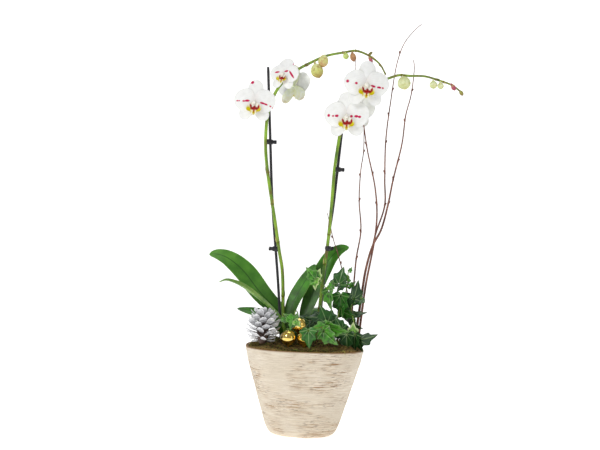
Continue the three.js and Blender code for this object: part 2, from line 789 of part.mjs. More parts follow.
const vines = {
  ivy_tall: {
    finish: finishes.ivy,
    stems: [
      [[60, -18, 163], [58, -18, 186], [52, -20, 234], [48, -24, 270], [45, -26, 289], [35, -28, 296],
      [19, -30, 305]],
      [[57, -18, 200], [67, -14, 254], [76, -8, 278], [80, -2, 300], [81, 0, 326]],
    ],
    leaves: [
      [17, -30, 307, 34, 125, 10, 20], [18, -26, 307, 26, 80, 0, -30], [16, -32, 311, 23, -95, 20, 30],
      [47, -20, 294, 17, 75, 0, 0], [63, -10, 300, 38, 80, 0, -20], [73, -12, 302, 22, -135, 10, 30],
      [44, -25, 290, 41, -90, 10, 55], [79, 0, 306, 21, 100, 0, 40], [83, 0, 327, 11, 55, 0, 20],
      [82, 0, 298, 19, 25, 0, 40], [68, -15, 280, 46, -90, 5, 35],
      [52, -19, 236, 30, 170, -30, 0], [71, -11, 262, 28, -20, -35, 0],
      [58, -4, 200, 30, 60, 0, 0], [76, 4, 198, 34, 100, -10, 20], [44, -6, 202, 28, 115, -5, 0],
    ],
  },
  ivy_right: {
    finish: finishes.ivy,
    stems: [
      [[88, -28, 163], [90, -28, 183], [96, -22, 222], [89, -6, 255], [93, 2, 272], [107, 5, 275]],
      [[90, -28, 183], [98, -42, 202], [104, -34, 198]],
    ],
    leaves: [
      [93, 0, 272, 40, 70, 0, 35], [111, 5, 275, 25, -140, 0, 20], [74, -5, 278, 35, -65, 5, 10],
      [92, 10, 244, 32, -5, 0, 55], [69, -10, 250, 35, -30, 15, 40], [92, -45, 202, 28, 85, 0, 10],
      [81, -60, 207, 37, -90, 5, 30], [97, -55, 207, 37, -95, 5, 40], [103, -50, 199, 30, -75, 5, 50],
      [105, -30, 194, 41, 10, 0, 35], [94, -20, 222, 22, -25, 5, 50], [96, 14, 216, 30, 40, -60, 0],
      [91, 2, 262, 32, 150, -40, 0], [95, -14, 236, 32, -160, -45, 0],
    ],
  },
  ivy_front: {
    finish: finishes.ivyYoung,
    stems: [
      [[52, -44, 163], [51, -46, 183], [46, -62, 204], [42, -70, 220], [24, -84, 219], [6, -97, 217]],
      [[51, -46, 183], [50, -38, 224], [34, -14, 231], [11, -2, 223]],
    ],
    leaves: [
      [42, -45, 224, 40, 110, 5, 20], [52, -30, 227, 26, 95, 0, 0], [43, -70, 220, 35, 180, 10, 50],
      [43, -72, 222, 44, -20, 10, 45], [34, -80, 213, 40, -45, 15, 20], [71, -50, 216, 27, 120, 0, 10],
      [5, -98, 215, 36, -85, 6, 0], [32, -10, 233, 32, 175, 0, 30], [9, 0, 223, 26, 150, 0, 10],
      [20, -7, 227, 30, -100, 10, 20], [40, -22, 231, 32, -75, 5, -20], [51, -38, 220, 28, -120, 5, 10],
    ],
  },
  ivy_left: {
    finish: finishes.ivyYoung,
    stems: [[
      [-6, -38, 163], [-5, -36, 184], [-12, -32, 222], [-18, -44, 246], [-22, -62, 246],
      [-24, -76, 234], [-38, -66, 230],
    ]],
    leaves: [
      [-25, -77, 229, 24, 140, 10, 20], [-23, -76, 229, 19, 70, 0, -20], [-25, -80, 229, 18, -105, 10, -10],
      [-21, -80, 230, 17, -45, 0, 0], [-39, -62, 228, 18, 160, 0, 45], [-12, -36, 214, 26, 150, -40, 0],
      [-15, -20, 187, 26, 95, 0, 0],
    ],
  },
};

for (const [name, { stems, leaves: sprays, finish }] of Object.entries(vines)) {
  const build = (grow) => join([
    ...stems.map((route) => tube(route, taper(1.4, 0.9), { sides: 4, steps: ivyStemSteps }, grow)),
    ...sprays.map((leaf) => ivyLeaf(stems, leaf, grow)),
  ]);
  addGrown(name, build, finish, stems[0][0]);
}

// ---- Soil and moss ----

addPiece('potting_soil', filling, filling, finishes.soil, [0, 0, 0]);

function mossMat() {
  const base = soilTop + clearance;
  const brim = planterHeight - 1.5;
  const wall = (z) => planterRing(Math.min(innerHalf(z), rimHalfWidth - wallThickness) - clearance, z);
  const rings = [wall(base), wall(brim)];
  for (const [inset, rise] of [[0.88, 0.35], [0.66, 0.7], [0.36, 0.94], [0.08, 1]]) {
    rings.push(planterRing(rimHalfWidth - wallThickness - clearance, planterHeight).map((p, i) => {
      const lump = 2.2 * Math.sin(i * 1.9 + inset * 17) + 1.6 * Math.sin(i * 0.83 - inset * 31);
      return point(p.x * inset, p.y * inset, brim + (mossRise - 8) * rise + lump * Math.min(1, inset * 2));
    }));
  }
  return loft(rings);
}

const moss = mossMat();
addPiece('moss_cover', moss, moss, finishes.moss, [0, 0, soilTop]);

export default arrangement;
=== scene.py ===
import bisect
import math
import random

import bmesh
import bpy
from mathutils import Matrix, Vector, noise


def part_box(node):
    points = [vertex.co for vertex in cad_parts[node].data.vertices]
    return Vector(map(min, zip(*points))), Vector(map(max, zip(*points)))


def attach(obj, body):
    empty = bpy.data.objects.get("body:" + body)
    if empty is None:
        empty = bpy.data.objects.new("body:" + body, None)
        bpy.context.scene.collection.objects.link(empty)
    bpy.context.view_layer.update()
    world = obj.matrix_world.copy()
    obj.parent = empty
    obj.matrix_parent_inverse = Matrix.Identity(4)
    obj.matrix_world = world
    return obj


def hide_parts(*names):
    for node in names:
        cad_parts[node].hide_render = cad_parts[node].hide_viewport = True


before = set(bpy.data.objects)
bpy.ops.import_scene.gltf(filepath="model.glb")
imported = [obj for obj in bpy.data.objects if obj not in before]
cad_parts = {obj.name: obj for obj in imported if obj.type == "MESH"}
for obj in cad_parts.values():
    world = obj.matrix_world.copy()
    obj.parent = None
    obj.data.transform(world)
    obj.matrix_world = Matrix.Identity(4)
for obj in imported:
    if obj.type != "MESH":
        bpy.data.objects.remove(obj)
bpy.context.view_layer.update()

mm = 0.001
goldenTurn = 2.39996
rng = random.Random(11)

# Camera, level and straight from the front, with a slight roll

cameraSettings = {"place": (-0.019, -2.5, 0.416), "roll": -2.3, "lens": 75, "sensor": 36}


def makeCamera():
    data = bpy.data.cameras.new("camera")
    data.lens = cameraSettings["lens"]
    data.sensor_width = cameraSettings["sensor"]
    camera = bpy.data.objects.new("camera", data)
    camera.location = cameraSettings["place"]
    camera.rotation_euler = (math.pi / 2, math.radians(cameraSettings["roll"]), 0)
    bpy.context.scene.collection.objects.link(camera)
    bpy.context.scene.camera = camera


makeCamera()
print("camera ready")

# Node and material tools


def toLinear(colour):
    parts = [int(colour[i:i + 2], 16) / 255 for i in (1, 3, 5)]
    return [c / 12.92 if c <= 0.04045 else ((c + 0.055) / 1.055) ** 2.4 for c in parts] + [1.0]


def addNode(tree, kind, inputs=None, stops=None, **settings):
    node = tree.nodes.new("ShaderNode" + kind)
    for name, value in settings.items():
        setattr(node, name, value)
    for key, value in (inputs or {}).items():
        if isinstance(value, bpy.types.NodeSocket):
            tree.links.new(value, node.inputs[key])
        else:
            node.inputs[key].default_value = value
    if stops:
        ramp = node.color_ramp
        ramp.elements[0].position, ramp.elements[1].position = stops[0][0], stops[-1][0]
        ramp.elements[0].color, ramp.elements[1].color = toLinear(stops[0][1]), toLinear(stops[-1][1])
        for at, colour in stops[1:-1]:
            ramp.elements.new(at).color = toLinear(colour)
    return node


def startMaterial(name, roughness, **inputs):
    material = bpy.data.materials.new(name)
    material.use_nodes = True
    tree = material.node_tree
    shader = tree.nodes["Principled BSDF"]
    shader.inputs["Roughness"].default_value = roughness
    for key, value in inputs.items():
        shader.inputs[key.replace("_", " ")].default_value = value
    return material, tree, shader


# Soft patches of the given size in mm, as a value from 0 to 1. Stretch lengthens them along an axis.
def patches(tree, size, stretch=(1, 1, 1), detail=3, low=0.35, high=0.65):
    scale = [1 / (size * mm * s) for s in stretch]
    place = addNode(tree, "TexCoord").outputs["Object"]
    spread = addNode(tree, "Mapping", {"Vector": place, "Scale": scale})
    cloud = addNode(tree, "TexNoise", {"Vector": spread.outputs[0], "Scale": 1, "Detail": detail})
    limits = {"Value": cloud.outputs[0], "From Min": low, "From Max": high}
    return addNode(tree, "MapRange", limits).outputs[0]


def mixed(tree, factor, first, second):
    return addNode(tree, "MixRGB", {"Fac": factor, "Color1": first, "Color2": second}).outputs[0]


def roughen(tree, shader, height, depth, strength=0.6):
    bump = addNode(tree, "Bump", {"Height": height, "Distance": depth * mm, "Strength": strength})
    tree.links.new(bump.outputs[0], shader.inputs["Normal"])


def paint(tree, shader, colour):
    tree.links.new(colour, shader.inputs["Base Color"])


# Shape tools, all in mm


def between(a, b, share):
    return a + (b - a) * share


# A smooth value through (position, value) pairs in rising order
def profile(pairs):
    def value(u):
        for (low, first), (high, second) in zip(pairs, pairs[1:]):
            if u <= high:
                share = min(max((u - low) / (high - low), 0), 1)
                return between(first, second, share)
        return pairs[-1][1]
    return value


# The smooth curve through a route, as a function of the share of its length
def curveThrough(route, fineness=14):
    points = [Vector(p) for p in route]
    padded = [2 * points[0] - points[1], *points, 2 * points[-1] - points[-2]]
    dense = []
    for p0, p1, p2, p3 in zip(padded, padded[1:], padded[2:], padded[3:]):
        t1 = (p1 - p0).length ** 0.5
        t2 = t1 + (p2 - p1).length ** 0.5
        t3 = t2 + (p3 - p2).length ** 0.5
        for k in range(fineness):
            t = between(t1, t2, k / fineness)
            a1 = between(p0, p1, t / t1)
            a2 = between(p1, p2, (t - t1) / (t2 - t1))
            a3 = between(p2, p3, (t - t2) / (t3 - t2))
            b1 = between(a1, a2, t / t2)
            b2 = between(a2, a3, (t - t1) / (t3 - t1))
            dense.append(between(b1, b2, (t - t1) / (t2 - t1)))
    dense.append(points[-1])
    lengths = [0.0]
    for a, b in zip(dense, dense[1:]):
        lengths.append(lengths[-1] + (b - a).length)

    def at(u):
        target = min(max(u, 0), 1) * lengths[-1]
        i = min(max(bisect.bisect(lengths, target), 1), len(dense) - 1)
        share = (target - lengths[i - 1]) / (lengths[i] - lengths[i - 1])
        return between(dense[i - 1], dense[i], share)
    return at


def directionOf(curve, u, reach=0.006):
    return (curve(u + reach) - curve(u - reach)).normalized()


def newShape():
    return {"points": [], "faces": [], "uvs": [], "tones": [], "veins": []}


def addPoint(shape, point, uv=(0, 0), tone=0.0, vein=1.0):
    shape["points"].append(Vector(point))
    shape["uvs"].append(uv)
    shape["tones"].append(tone)
    shape["veins"].append(vein)


# A closed skin over rings of equal count. Each ring is (points, uvs, tone).
def addLoft(shape, rings):
    start = len(shape["points"])
    count = len(rings[0][0])
    for points, uvs, tone in rings:
        for point, uv in zip(points, uvs):
            addPoint(shape, point, uv, tone)
    for r in range(len(rings) - 1):
        for i in range(count):
            a = start + r * count + i
            b = start + r * count + (i + 1) % count
            shape["faces"].append((a, b, b + count, a + count))
    last = start + (len(rings) - 1) * count
    shape["faces"].append(tuple(range(start + count - 1, start - 1, -1)))
    shape["faces"].append(tuple(range(last, last + count)))


# A round stem. Joints are swollen rings, which get tone 1.
def addTube(shape, route, radius, sides=10, steps=24, joints=(), swell=0.9, tone=0.0, lobes=0):
    curve = curveThrough(route)
    shade = tone if callable(tone) else lambda u: tone
    stations = [(i / steps, 0.0, shade(i / steps)) for i in range(steps + 1)]
    for joint in joints:
        stations += [(joint - 0.006, 0.1, 0.4), (joint, swell, 1.0), (joint + 0.007, 0.15, 0.6)]
    stations.sort()
    across = Vector((0.31, 0.95, 0.05))
    rings = []
    for u, extra, ringTone in stations:
        along = directionOf(curve, u)
        across = (across - along * across.dot(along)).normalized()
        other = along.cross(across)
        points = []
        for i in range(sides):
            turn = i / sides * math.tau
            size = (radius(u) + extra) * (1 + (0.045 * math.cos(lobes * turn) if lobes else 0))
            points.append(curve(u) + across * size * math.cos(turn) + other * size * math.sin(turn))
        rings.append((points, [(i / sides, u) for i in range(sides)], ringTone))
    addLoft(shape, rings)


# A leaf or petal: a thin plate along a route with its upper side turned to `facing`.
# Fold lifts both edges in a V, cup curves them, and ripple waves them.
def addBlade(shape, route, facing, halfWidth, thickness, along=14, across=8, fold=0.0, cup=0.0,
             ripple=0.0, waves=2.5, tone=0.0):
    curve = curveThrough(route)
    spread = [2 * i / across - 1 for i in range(across + 1)]
    phase = rng.uniform(0, math.tau)
    rings = []
    for i in range(along + 1):
        u = 1 - (1 - i / along) ** 1.5
        forward = directionOf(curve, u)
        side = forward.cross(Vector(facing)).normalized()
        up = side.cross(forward).normalized()
        half = halfWidth(u)
        points, uvs = [], []
        for face, row in ((1, spread), (-1, spread[-2:0:-1])):
            for s in row:
                lift = half * (fold * abs(s) + cup * s * s)
                lift += ripple * s * abs(s) * math.sin(waves * math.tau * u + phase + (2 if s > 0 else 0))
                lift += face * thickness / 2 * math.sqrt(max(1 - s * s, 0.02))
                points.append(curve(u) + side * half * s + up * lift)
                uvs.append((s / 2 + 0.5, u))
        rings.append((points, uvs, tone))
    addLoft(shape, rings)


def addEgg(shape, base, tip, radius, widest=0.5, blunt=0.25, sides=16, steps=12, tone=0.0, lobes=0):
    rest = 1 - widest
    width = profile([
        (0, blunt), (widest * 0.12, 0.5), (widest * 0.35, 0.76), (widest * 0.7, 0.96), (widest, 1),
        (widest + rest * 0.25, 0.96), (widest + rest * 0.5, 0.82), (widest + rest * 0.75, 0.56),
        (widest + rest * 0.92, 0.28), (1, 0.03),
    ])
    addTube(shape, [base, tip], lambda u: radius * width(u), sides, steps, tone=tone, lobes=lobes)


def makePiece(shape, name, material, nodes=(), matrix=None, levels=0):
    mesh = bpy.data.meshes.new(name)
    mesh.from_pydata([p * mm for p in shape["points"]], [], shape["faces"])
    body = bmesh.new()
    body.from_mesh(mesh)
    bmesh.ops.recalc_face_normals(body, faces=body.faces)
    body.to_mesh(mesh)
    body.free()
    uvMap = mesh.uv_layers.new(name="UVMap")
    for loop in mesh.loops:
        uvMap.data[loop.index].uv = shape["uvs"][loop.vertex_index]
    for key in ("tones", "veins"):
        mesh.attributes.new(key, "FLOAT", "POINT").data.foreach_set("value", shape[key])
    mesh.polygons.foreach_set("use_smooth", [True] * len(mesh.polygons))
    mesh.materials.append(material)
    piece = bpy.data.objects.new(name, mesh)
    bpy.context.scene.collection.objects.link(piece)
    if matrix:
        piece.matrix_world = matrix
    if levels:
        smoother = piece.modifiers.new("smoother", "SUBSURF")
        smoother.levels = smoother.render_levels = levels
    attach(piece, "root")
    if nodes:
        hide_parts(*nodes)
    return piece


def boxCentre(node):
    low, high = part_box(node)
    return (low + high) / 2


# Studio: a white sweep, a soft key from the upper left, a top softbox and a weak right fill

studioSettings = {"halfWidth": 24, "front": -24, "wall": 7, "height": 6, "bend": 1.6}


def makeStudio():
    settings = studioSettings
    rows = [(settings["front"], 0)]
    for i in range(13):
        turn = i / 12 * math.pi / 2
        bend = settings["bend"]
        rows.append((settings["wall"] - bend + bend * math.sin(turn), bend - bend * math.cos(turn)))
    rows.append((settings["wall"], settings["height"]))
    points = [(side * settings["halfWidth"], y, z) for y, z in rows for side in (-1, 1)]
    faces = [(2 * i, 2 * i + 1, 2 * i + 3, 2 * i + 2) for i in range(len(rows) - 1)]
    mesh = bpy.data.meshes.new("sweep")
    mesh.from_pydata(points, [], faces)
    mesh.polygons.foreach_set("use_smooth", [True] * len(faces))
    # Matt white paper, lifted a little so that it stays plain white behind the plants
    material, tree, shader = startMaterial("white_paper_matt", 0.95)
    shader.inputs["Base Color"].default_value = toLinear("#f4f4f3")
    shader.inputs["Emission Color"].default_value = toLinear("#ffffff")
    shader.inputs["Emission Strength"].default_value = 0.62
    mesh.materials.append(material)
    sweep = bpy.data.objects.new("sweep", mesh)
    bpy.context.scene.collection.objects.link(sweep)

    world = bpy.data.worlds.new("studio_air")
    world.use_nodes = True
    world.node_tree.nodes["Background"].inputs["Color"].default_value = toLinear("#f6f8fa")
    world.node_tree.nodes["Background"].inputs["Strength"].default_value = 0.36
    bpy.context.scene.world = world
    bpy.context.scene.view_settings.view_transform = "Standard"


def addLight(name, place, target, size, power):
    data = bpy.data.lights.new(name, "AREA")
    data.shape = "DISK"
    data.size = size
    data.energy = power
    light = bpy.data.objects.new(name, data)
    light.location = place
    light.rotation_euler = (Vector(target) - Vector(place)).to_track_quat("-Z", "Y").to_euler()
    bpy.context.scene.collection.objects.link(light)


makeStudio()
addLight("key_light", (-1.7, -2.3, 2.3), (0, 0, 0.35), 0.9, 40)
addLight("top_light", (0.3, 0.4, 3.0), (0, 0, 0.4), 1.4, 15)
addLight("fill_light", (2.4, -1.8, 1.2), (0, 0, 0.4), 1.4, 5)
print("studio ready")

# Planter: a squarish tapered bowl, thrown thick and brushed with whitewash

planterSettings = {
    "height": 174, "rim": 118.5, "wall": 5.5, "floor": 7, "sides": 160, "footPower": 2.0, "rimPower": 2.6,
    "profile": [(0, 56), (0.6, 60), (1.8, 63), (6, 68), (13, 72.2),
        (33, 78.8), (92, 96.6), (146, 113.2), (171, 118.2)],
}


# Worn limewash over tan clay: chalky cream with level brush scratches where the clay shows,
# a few dark nicks, and a bare brown line along the rim
def whitewashedCeramic():
    material, tree, shader = startMaterial("whitewashed_ceramic_matte", 0.78)
    clay = patches(tree, 5, (8, 8, 0.24), 5, 0.52, 0.62)
    fine = patches(tree, 3, (11, 11, 0.26), 4, 0.38, 0.64)
    nicks = patches(tree, 3.2, (4, 4, 0.28), 3, 0.58, 0.66)
    broad = patches(tree, 55, (1.3, 1.3, 0.6), 3, 0.44, 0.6)
    worn = addNode(tree, "Math", {0: clay, 1: broad}, operation="MULTIPLY").outputs[0]
    nicked = addNode(tree, "Math", {0: nicks, 1: broad}, operation="MULTIPLY").outputs[0]
    chalk = mixed(tree, fine, toLinear("#f6ecdc"), toLinear("#dccbb2"))
    tinted = mixed(tree, patches(tree, 90, (1, 1, 0.8), 2, 0.35, 0.7), chalk, toLinear("#e6d8c2"))
    rubbed = mixed(tree, worn, tinted, toLinear("#b08a60"))
    marked = mixed(tree, nicked, rubbed, toLinear("#6f5038"))
    place = addNode(tree, "TexCoord").outputs["Object"]
    height = addNode(tree, "SeparateXYZ", {0: place}).outputs[2]
    rimLow, rimHigh = 171.4 * mm, 173.4 * mm
    bare = addNode(tree, "MapRange", {"Value": height, "From Min": rimLow, "From Max": rimHigh}).outputs[0]
    paint(tree, shader, mixed(tree, bare, marked, toLinear("#9a7346")))
    roughen(tree, shader, fine, 0.8, 0.85)
    return material


def squircle(half, z, sides, height):
    settings = planterSettings
    power = 2 / between(settings["footPower"], settings["rimPower"], z / height)
    ring = []
    for i in range(sides):
        turn = (i + 0.5) / sides * math.tau
        c, s = math.cos(turn), math.sin(turn)
        x, y = (math.copysign(abs(part) ** power, part) * half for part in (c, s))
        ring.append(Vector((x, y, z)))
    return ring


planterHalf = profile(planterSettings["profile"])


def makePlanter():
    settings = planterSettings
    low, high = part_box("planter")
    fit = (high.x - low.x) / mm / (2 * settings["rim"])
    rim, wall, height = settings["rim"], settings["wall"], settings["height"]
    rows = [(2, 0.6), *[(half, z) for z, half in settings["profile"][:4]]]
    rows += [(planterHalf(z), z) for z in range(17, 171, 7)]
    for i in range(9):
        turn = i / 8 * math.pi
        rows.append((rim - wall / 2 + wall / 2 * math.cos(turn), height - 3 + 3 * math.sin(turn)))
    rows += [(planterHalf(z) - wall, z) for z in range(164, 15, -12)]
    rows += [(planterHalf(15) - wall - 4, settings["floor"]), (2, settings["floor"])]
    shape = newShape()
    rings = []
    for half, z in rows:
        points = squircle(half * fit, z, settings["sides"], height)
        for p in points:
            swell = noise.noise(Vector((p.x, p.y, p.z * 2)) / 55) * 0.7  # uneven hand-made wall
            p.x += swell * p.x / 100
            p.y += swell * p.y / 100
        rings.append((points, [(i / len(points), z / height) for i in range(len(points))], 0.0))
    addLoft(shape, rings)
    makePiece(shape, "planter_body", whitewashedCeramic(), ["planter"], levels=1)


makePlanter()
print("planter ready")

# Potting mix under the moss, left as it is with a bark finish

soilSettings = {"grain": 7, "dark": "#22160e", "light": "#6a4a30"}


# Damp chopped bark: dark brown grains with rough broken faces
def barkMix():
    material, tree, shader = startMaterial("bark_mix_damp", 0.9)
    settings = soilSettings
    grain = patches(tree, settings["grain"], (1, 1, 1), 6, 0.4, 0.62)
    paint(tree, shader, mixed(tree, grain, toLinear(settings["dark"]), toLinear(settings["light"])))
    roughen(tree, shader, grain, 2.5, 0.9)
    return material


barkMaterial = barkMix()
soilNode = bpy.data.objects["potting_soil"]
soilNode.data.materials.clear()
soilNode.data.materials.append(barkMaterial)
print("soil ready")

# Moss: a lumpy mat with loose strands and bark chips on it

mossSettings = {
    "brim": 171.5, "dome": 14, "lump": 3.4, "strands": 2400, "chips": 90, "rings": 34, "sides": 96,
}


# Dried sphagnum: matt brown and olive fibres, with a few greener and paler ones
def driedMoss():
    material, tree, shader = startMaterial("dried_moss_rough", 0.95)
    tone = addNode(tree, "Attribute", attribute_name="tones").outputs["Fac"]
    stops = [
        (0, "#4a3418"), (0.3, "#8a6a38"), (0.55, "#a08444"),
        (0.75, "#74782c"), (0.9, "#58701f"), (1, "#b9b552"),
    ]
    fibre = addNode(tree, "ValToRGB", {"Fac": tone}, stops).outputs[0]
    dark = patches(tree, 4, (1, 1, 1), 6, 0.3, 0.55)
    paint(tree, shader, mixed(tree, dark, toLinear("#3d2c12"), fibre))
    roughen(tree, shader, patches(tree, 1.6, (1, 1, 1), 4), 1.6, 0.8)
    return material


def mossHeight(x, y):
    reach = planterSettings["rim"] - planterSettings["wall"]
    share = min(max(abs(x), abs(y)) / reach, 1)
    lump = noise.noise(Vector((x, y, 3)) / 16) * mossSettings["lump"] * min(1, 3 * (1 - share) + 0.25)
    return mossSettings["brim"] + mossSettings["dome"] * (1 - share ** 2.2) + lump


def makeMoss():
    settings = mossSettings
    sides, tall = settings["sides"], planterSettings["height"]
    reach = planterSettings["rim"] - planterSettings["wall"] - 0.4
    rim = squircle(reach, 0, sides, tall)
    shape = newShape()
    rings = []
    for r in range(settings["rings"]):
        share = 1 - r / settings["rings"]
        points = squircle(reach * share, settings["brim"], sides, tall)
        for p in points:
            p.z = mossHeight(p.x, p.y) + noise.noise(p / 5) * 1.3
        rings.append((points, [(0, 0)] * len(points), rng.uniform(0.2, 0.75)))
    foot = squircle(reach - 1, settings["brim"] - 9, sides, tall)
    rings.insert(0, (foot, [(0, 0)] * len(foot), 0.2))
    addLoft(shape, rings)
    mossMaterial = driedMoss()
    makePiece(shape, "moss_mat", mossMaterial, ["moss_cover"])

    strands = newShape()
    for _ in range(settings["strands"]):
        edge = rng.random() < 0.4
        spot = rim[rng.randrange(sides)] * (rng.uniform(0.88, 0.985) if edge else rng.uniform(0.05, 0.95))
        ground = mossHeight(spot.x, spot.y)
        heading, length = rng.uniform(0, math.tau), rng.uniform(6, 18)
        ahead = Vector((math.cos(heading), math.sin(heading), 0)) * length
        start = Vector((spot.x, spot.y, ground - 0.8))
        if max(abs(start.x + ahead.x), abs(start.y + ahead.y)) > reach - 3:
            ahead *= -1
        middle = start + ahead * 0.5 + Vector((rng.uniform(-2, 2), rng.uniform(-2, 2), rng.uniform(2, 7)))
        tip = start + ahead + Vector((0, 0, rng.uniform(-1, 3.5)))
        girth = rng.uniform(0.35, 0.9)
        addTube(strands, [start, middle, tip], lambda u: girth * (1.05 - 0.8 * u), 4, 4, tone=rng.random())
    rimStrand = [(72, -96, 175), (74, -106, 178.5), (76, -113, 177), (77, -119.5, 172)]
    addTube(strands, rimStrand, lambda u: 0.8 - 0.4 * u, 5, 8, tone=1.0)
    makePiece(strands, "moss_strands", mossMaterial)

    chips = newShape()
    for _ in range(settings["chips"]):
        spot = squircle(reach * rng.uniform(0.15, 0.9), 0, sides, tall)[rng.randrange(sides)]
        centre = Vector((spot.x, spot.y, mossHeight(spot.x, spot.y) + 0.6))
        heading = rng.uniform(0, math.tau)
        ahead = Vector((math.cos(heading), math.sin(heading), rng.uniform(-0.3, 0.3)))
        size = rng.uniform(3.5, 8)
        width = profile([(0, 0.4), (0.2, 0.9), (0.8, 1), (1, 0.45)])
        girth = size * rng.uniform(0.3, 0.42)
        route = [centre - ahead * size, centre + Vector((0, 0, 0.8)), centre + ahead * size]
        addBlade(chips, route, (0, 0, 1), lambda u: girth * 1.5 * width(u), girth, 5, 4, ripple=0.6)
    makePiece(chips, "bark_chips", barkMaterial)


makeMoss()
print("moss ready")

# Stakes and their clips: plain dark moulded plastic

stakeSettings = {"radius": 2.75, "clipReach": 4.2, "clipRadius": 5.2, "clipHeight": 10}

stakeRoutes = {
    "left": [
        (-42, 22, 62), (-48, 22, 179), (-58, 22, 293), (-66, 22, 364),
        (-76, 22, 454), (-88, 22, 617), (-96, 22, 732),
    ],
    "right": [
        (26, 26, 66), (27, 26, 181), (33, 26, 297), (40, 26, 398),
        (46, 26, 449), (58, 26, 605), (64, 26, 672),
    ],
}

clipHeadings = {
    "clip_left_upper": -141, "clip_left_lower": -45, "clip_right_upper": -131, "clip_right_lower": -100,
}


# Extruded plastic: near black, satin, with faint marks along its length
def stakePlastic():
    material, tree, shader = startMaterial("stake_plastic_satin", 0.42)
    scuffs = patches(tree, 4, (1, 1, 12), 4)
    paint(tree, shader, mixed(tree, scuffs, toLinear("#15131a"), toLinear("#2b2830")))
    roughen(tree, shader, scuffs, 0.15, 0.4)
    return material


# Glossy moulded plastic: black with a soft moulding texture
def clipPlastic():
    material, tree, shader = startMaterial("clip_plastic_gloss", 0.28)
    cloud = patches(tree, 3)
    paint(tree, shader, mixed(tree, cloud, toLinear("#101013"), toLinear("#1e1d22")))
    roughen(tree, shader, cloud, 0.08, 0.3)
    return material


def makeStakes():
    plastic = stakePlastic()
    for side, route in stakeRoutes.items():
        shape = newShape()
        girth = profile([(0, 0.7), (0.004, 1), (0.997, 1), (1, 0.86)])
        addTube(shape, route, lambda u: stakeSettings["radius"] * girth(u), 18, 90)
        makePiece(shape, f"{side}_stake_rod", plastic, [f"{side}_stake"])


# Local +x runs from the stake to the spike, and the finger wings stand behind the stake
def makeClip(name, heading, plastic):
    settings = stakeSettings
    reach, radius, tall = settings["clipReach"], settings["clipRadius"], settings["clipHeight"] / 2
    outline = []
    for end in (1, -1):
        for i in range(13):
            turn = math.radians(-90 * end + i / 12 * 180)
            outline.append((end * reach + radius * math.cos(turn), radius * math.sin(turn)))
    shape = newShape()
    rows = [
        (0.86, -tall), (0.97, -tall + 0.5), (1, -tall + 1.2),
        (1, tall - 1.2), (0.97, tall - 0.5), (0.86, tall),
    ]
    addLoft(shape, [([Vector((a * k, b * k, z)) for a, b in outline], [(0, 0)] * 26, 0.0) for k, z in rows])
    for side in (1, -1):
        route = [(-5, side * 4, 0), (-9, side * 5.6, 0), (-13.4, side * 8.4, 0)]
        width = profile([(0, 0.8), (0.5, 0.9), (0.9, 1), (1, 0.7)])
        addBlade(shape, route, (0.3, side, 0), lambda u: (tall - 0.8) * width(u), 2.2, 8, 6)
        ribs = [(-9.4, -10.8), (-11, -12.4)]
        for near, far in ribs:
            rib = [(near, side * 6.6, -tall + 2), (far + 0.9, side * 7, 0), (near, side * 6.6, tall - 2)]
            addTube(shape, rib, lambda u: 0.6, 6, 6)
    centre = boxCentre(name)
    behind = Matrix.Rotation(math.radians(heading), 4, "Z") @ Vector((-2, 0, 0)) * mm
    matrix = Matrix.Translation(centre - behind) @ Matrix.Rotation(math.radians(heading), 4, "Z")
    makePiece(shape, f"{name}_body", plastic, [name], matrix)


makeStakes()
clipMaterial = clipPlastic()
for clipName, clipHeading in clipHeadings.items():
    makeClip(clipName, clipHeading, clipMaterial)
print("stakes and clips ready")

# Crowns and flower spikes

spikes = {
    "left": {
        "route": [
            (-40, 9, 178), (-44, 10, 212), (-46, 12, 242), (-51, 14, 324), (-59, 15, 364), (-70, 15, 424),
            (-78, 15, 464), (-89, 15, 524), (-94, 15, 564), (-95, 15, 604), (-92, 14, 640), (-78, 8, 681),
            (-63, 4, 703), (-41, 0, 723), (-12, -4, 740), (19, -5, 755), (57, -6, 764), (79, -4, 768),
            (105, 0, 760), (128, 4, 744), (141, 8, 724),
        ],
        "joints": [0.12, 0.26, 0.36, 0.445, 0.76, 0.81, 0.86, 0.895, 0.94],
        "tips": [
            ((104, 0, 760), (112, 0, 768), 3, ["#8c8c3c", "#7d7a34", "#6b6230"]),
            ((105, 0, 758), (113, 0, 746), 3.6, ["#a8a050", "#b5526a", "#8f3c50"]),
            ((126, 4, 746), (131, 3, 739), 2.6, ["#8c8c3c", "#7d7a34", "#6b6230"]),
        ],
    },
    "right": {
        "route": [
            (17, 15, 176), (22, 16, 200), (26, 18, 236), (32, 19, 317),
            (39, 19, 388), (43, 19, 459), (46, 19, 530),
            (50, 19, 570), (55, 20, 607), (63, 22, 641), (78, 24, 675), (101, 24, 700), (122, 20, 711),
            (142, 14, 716), (167, 6, 724), (189, 2, 723), (219, 0, 723),
            (249, -3, 715), (273, -4, 707), (292, -4, 694),
        ],
        "joints": [0.1, 0.22, 0.3, 0.57, 0.83, 0.925, 0.945, 0.972],
        "tips": [((289, -4, 697), (296, -4, 687), 4, ["#98a048", "#8a8a40", "#7a6034"])],
    },
}

spikeGirth = profile([(0, 3.4), (0.45, 3.3), (0.62, 3.2), (0.78, 2.7), (1, 1.7)])
spikeAge = profile([(0, 0.5), (0.12, 0.1), (0.55, 0), (0.7, 0.2), (0.85, 0.45), (1, 0.6)])


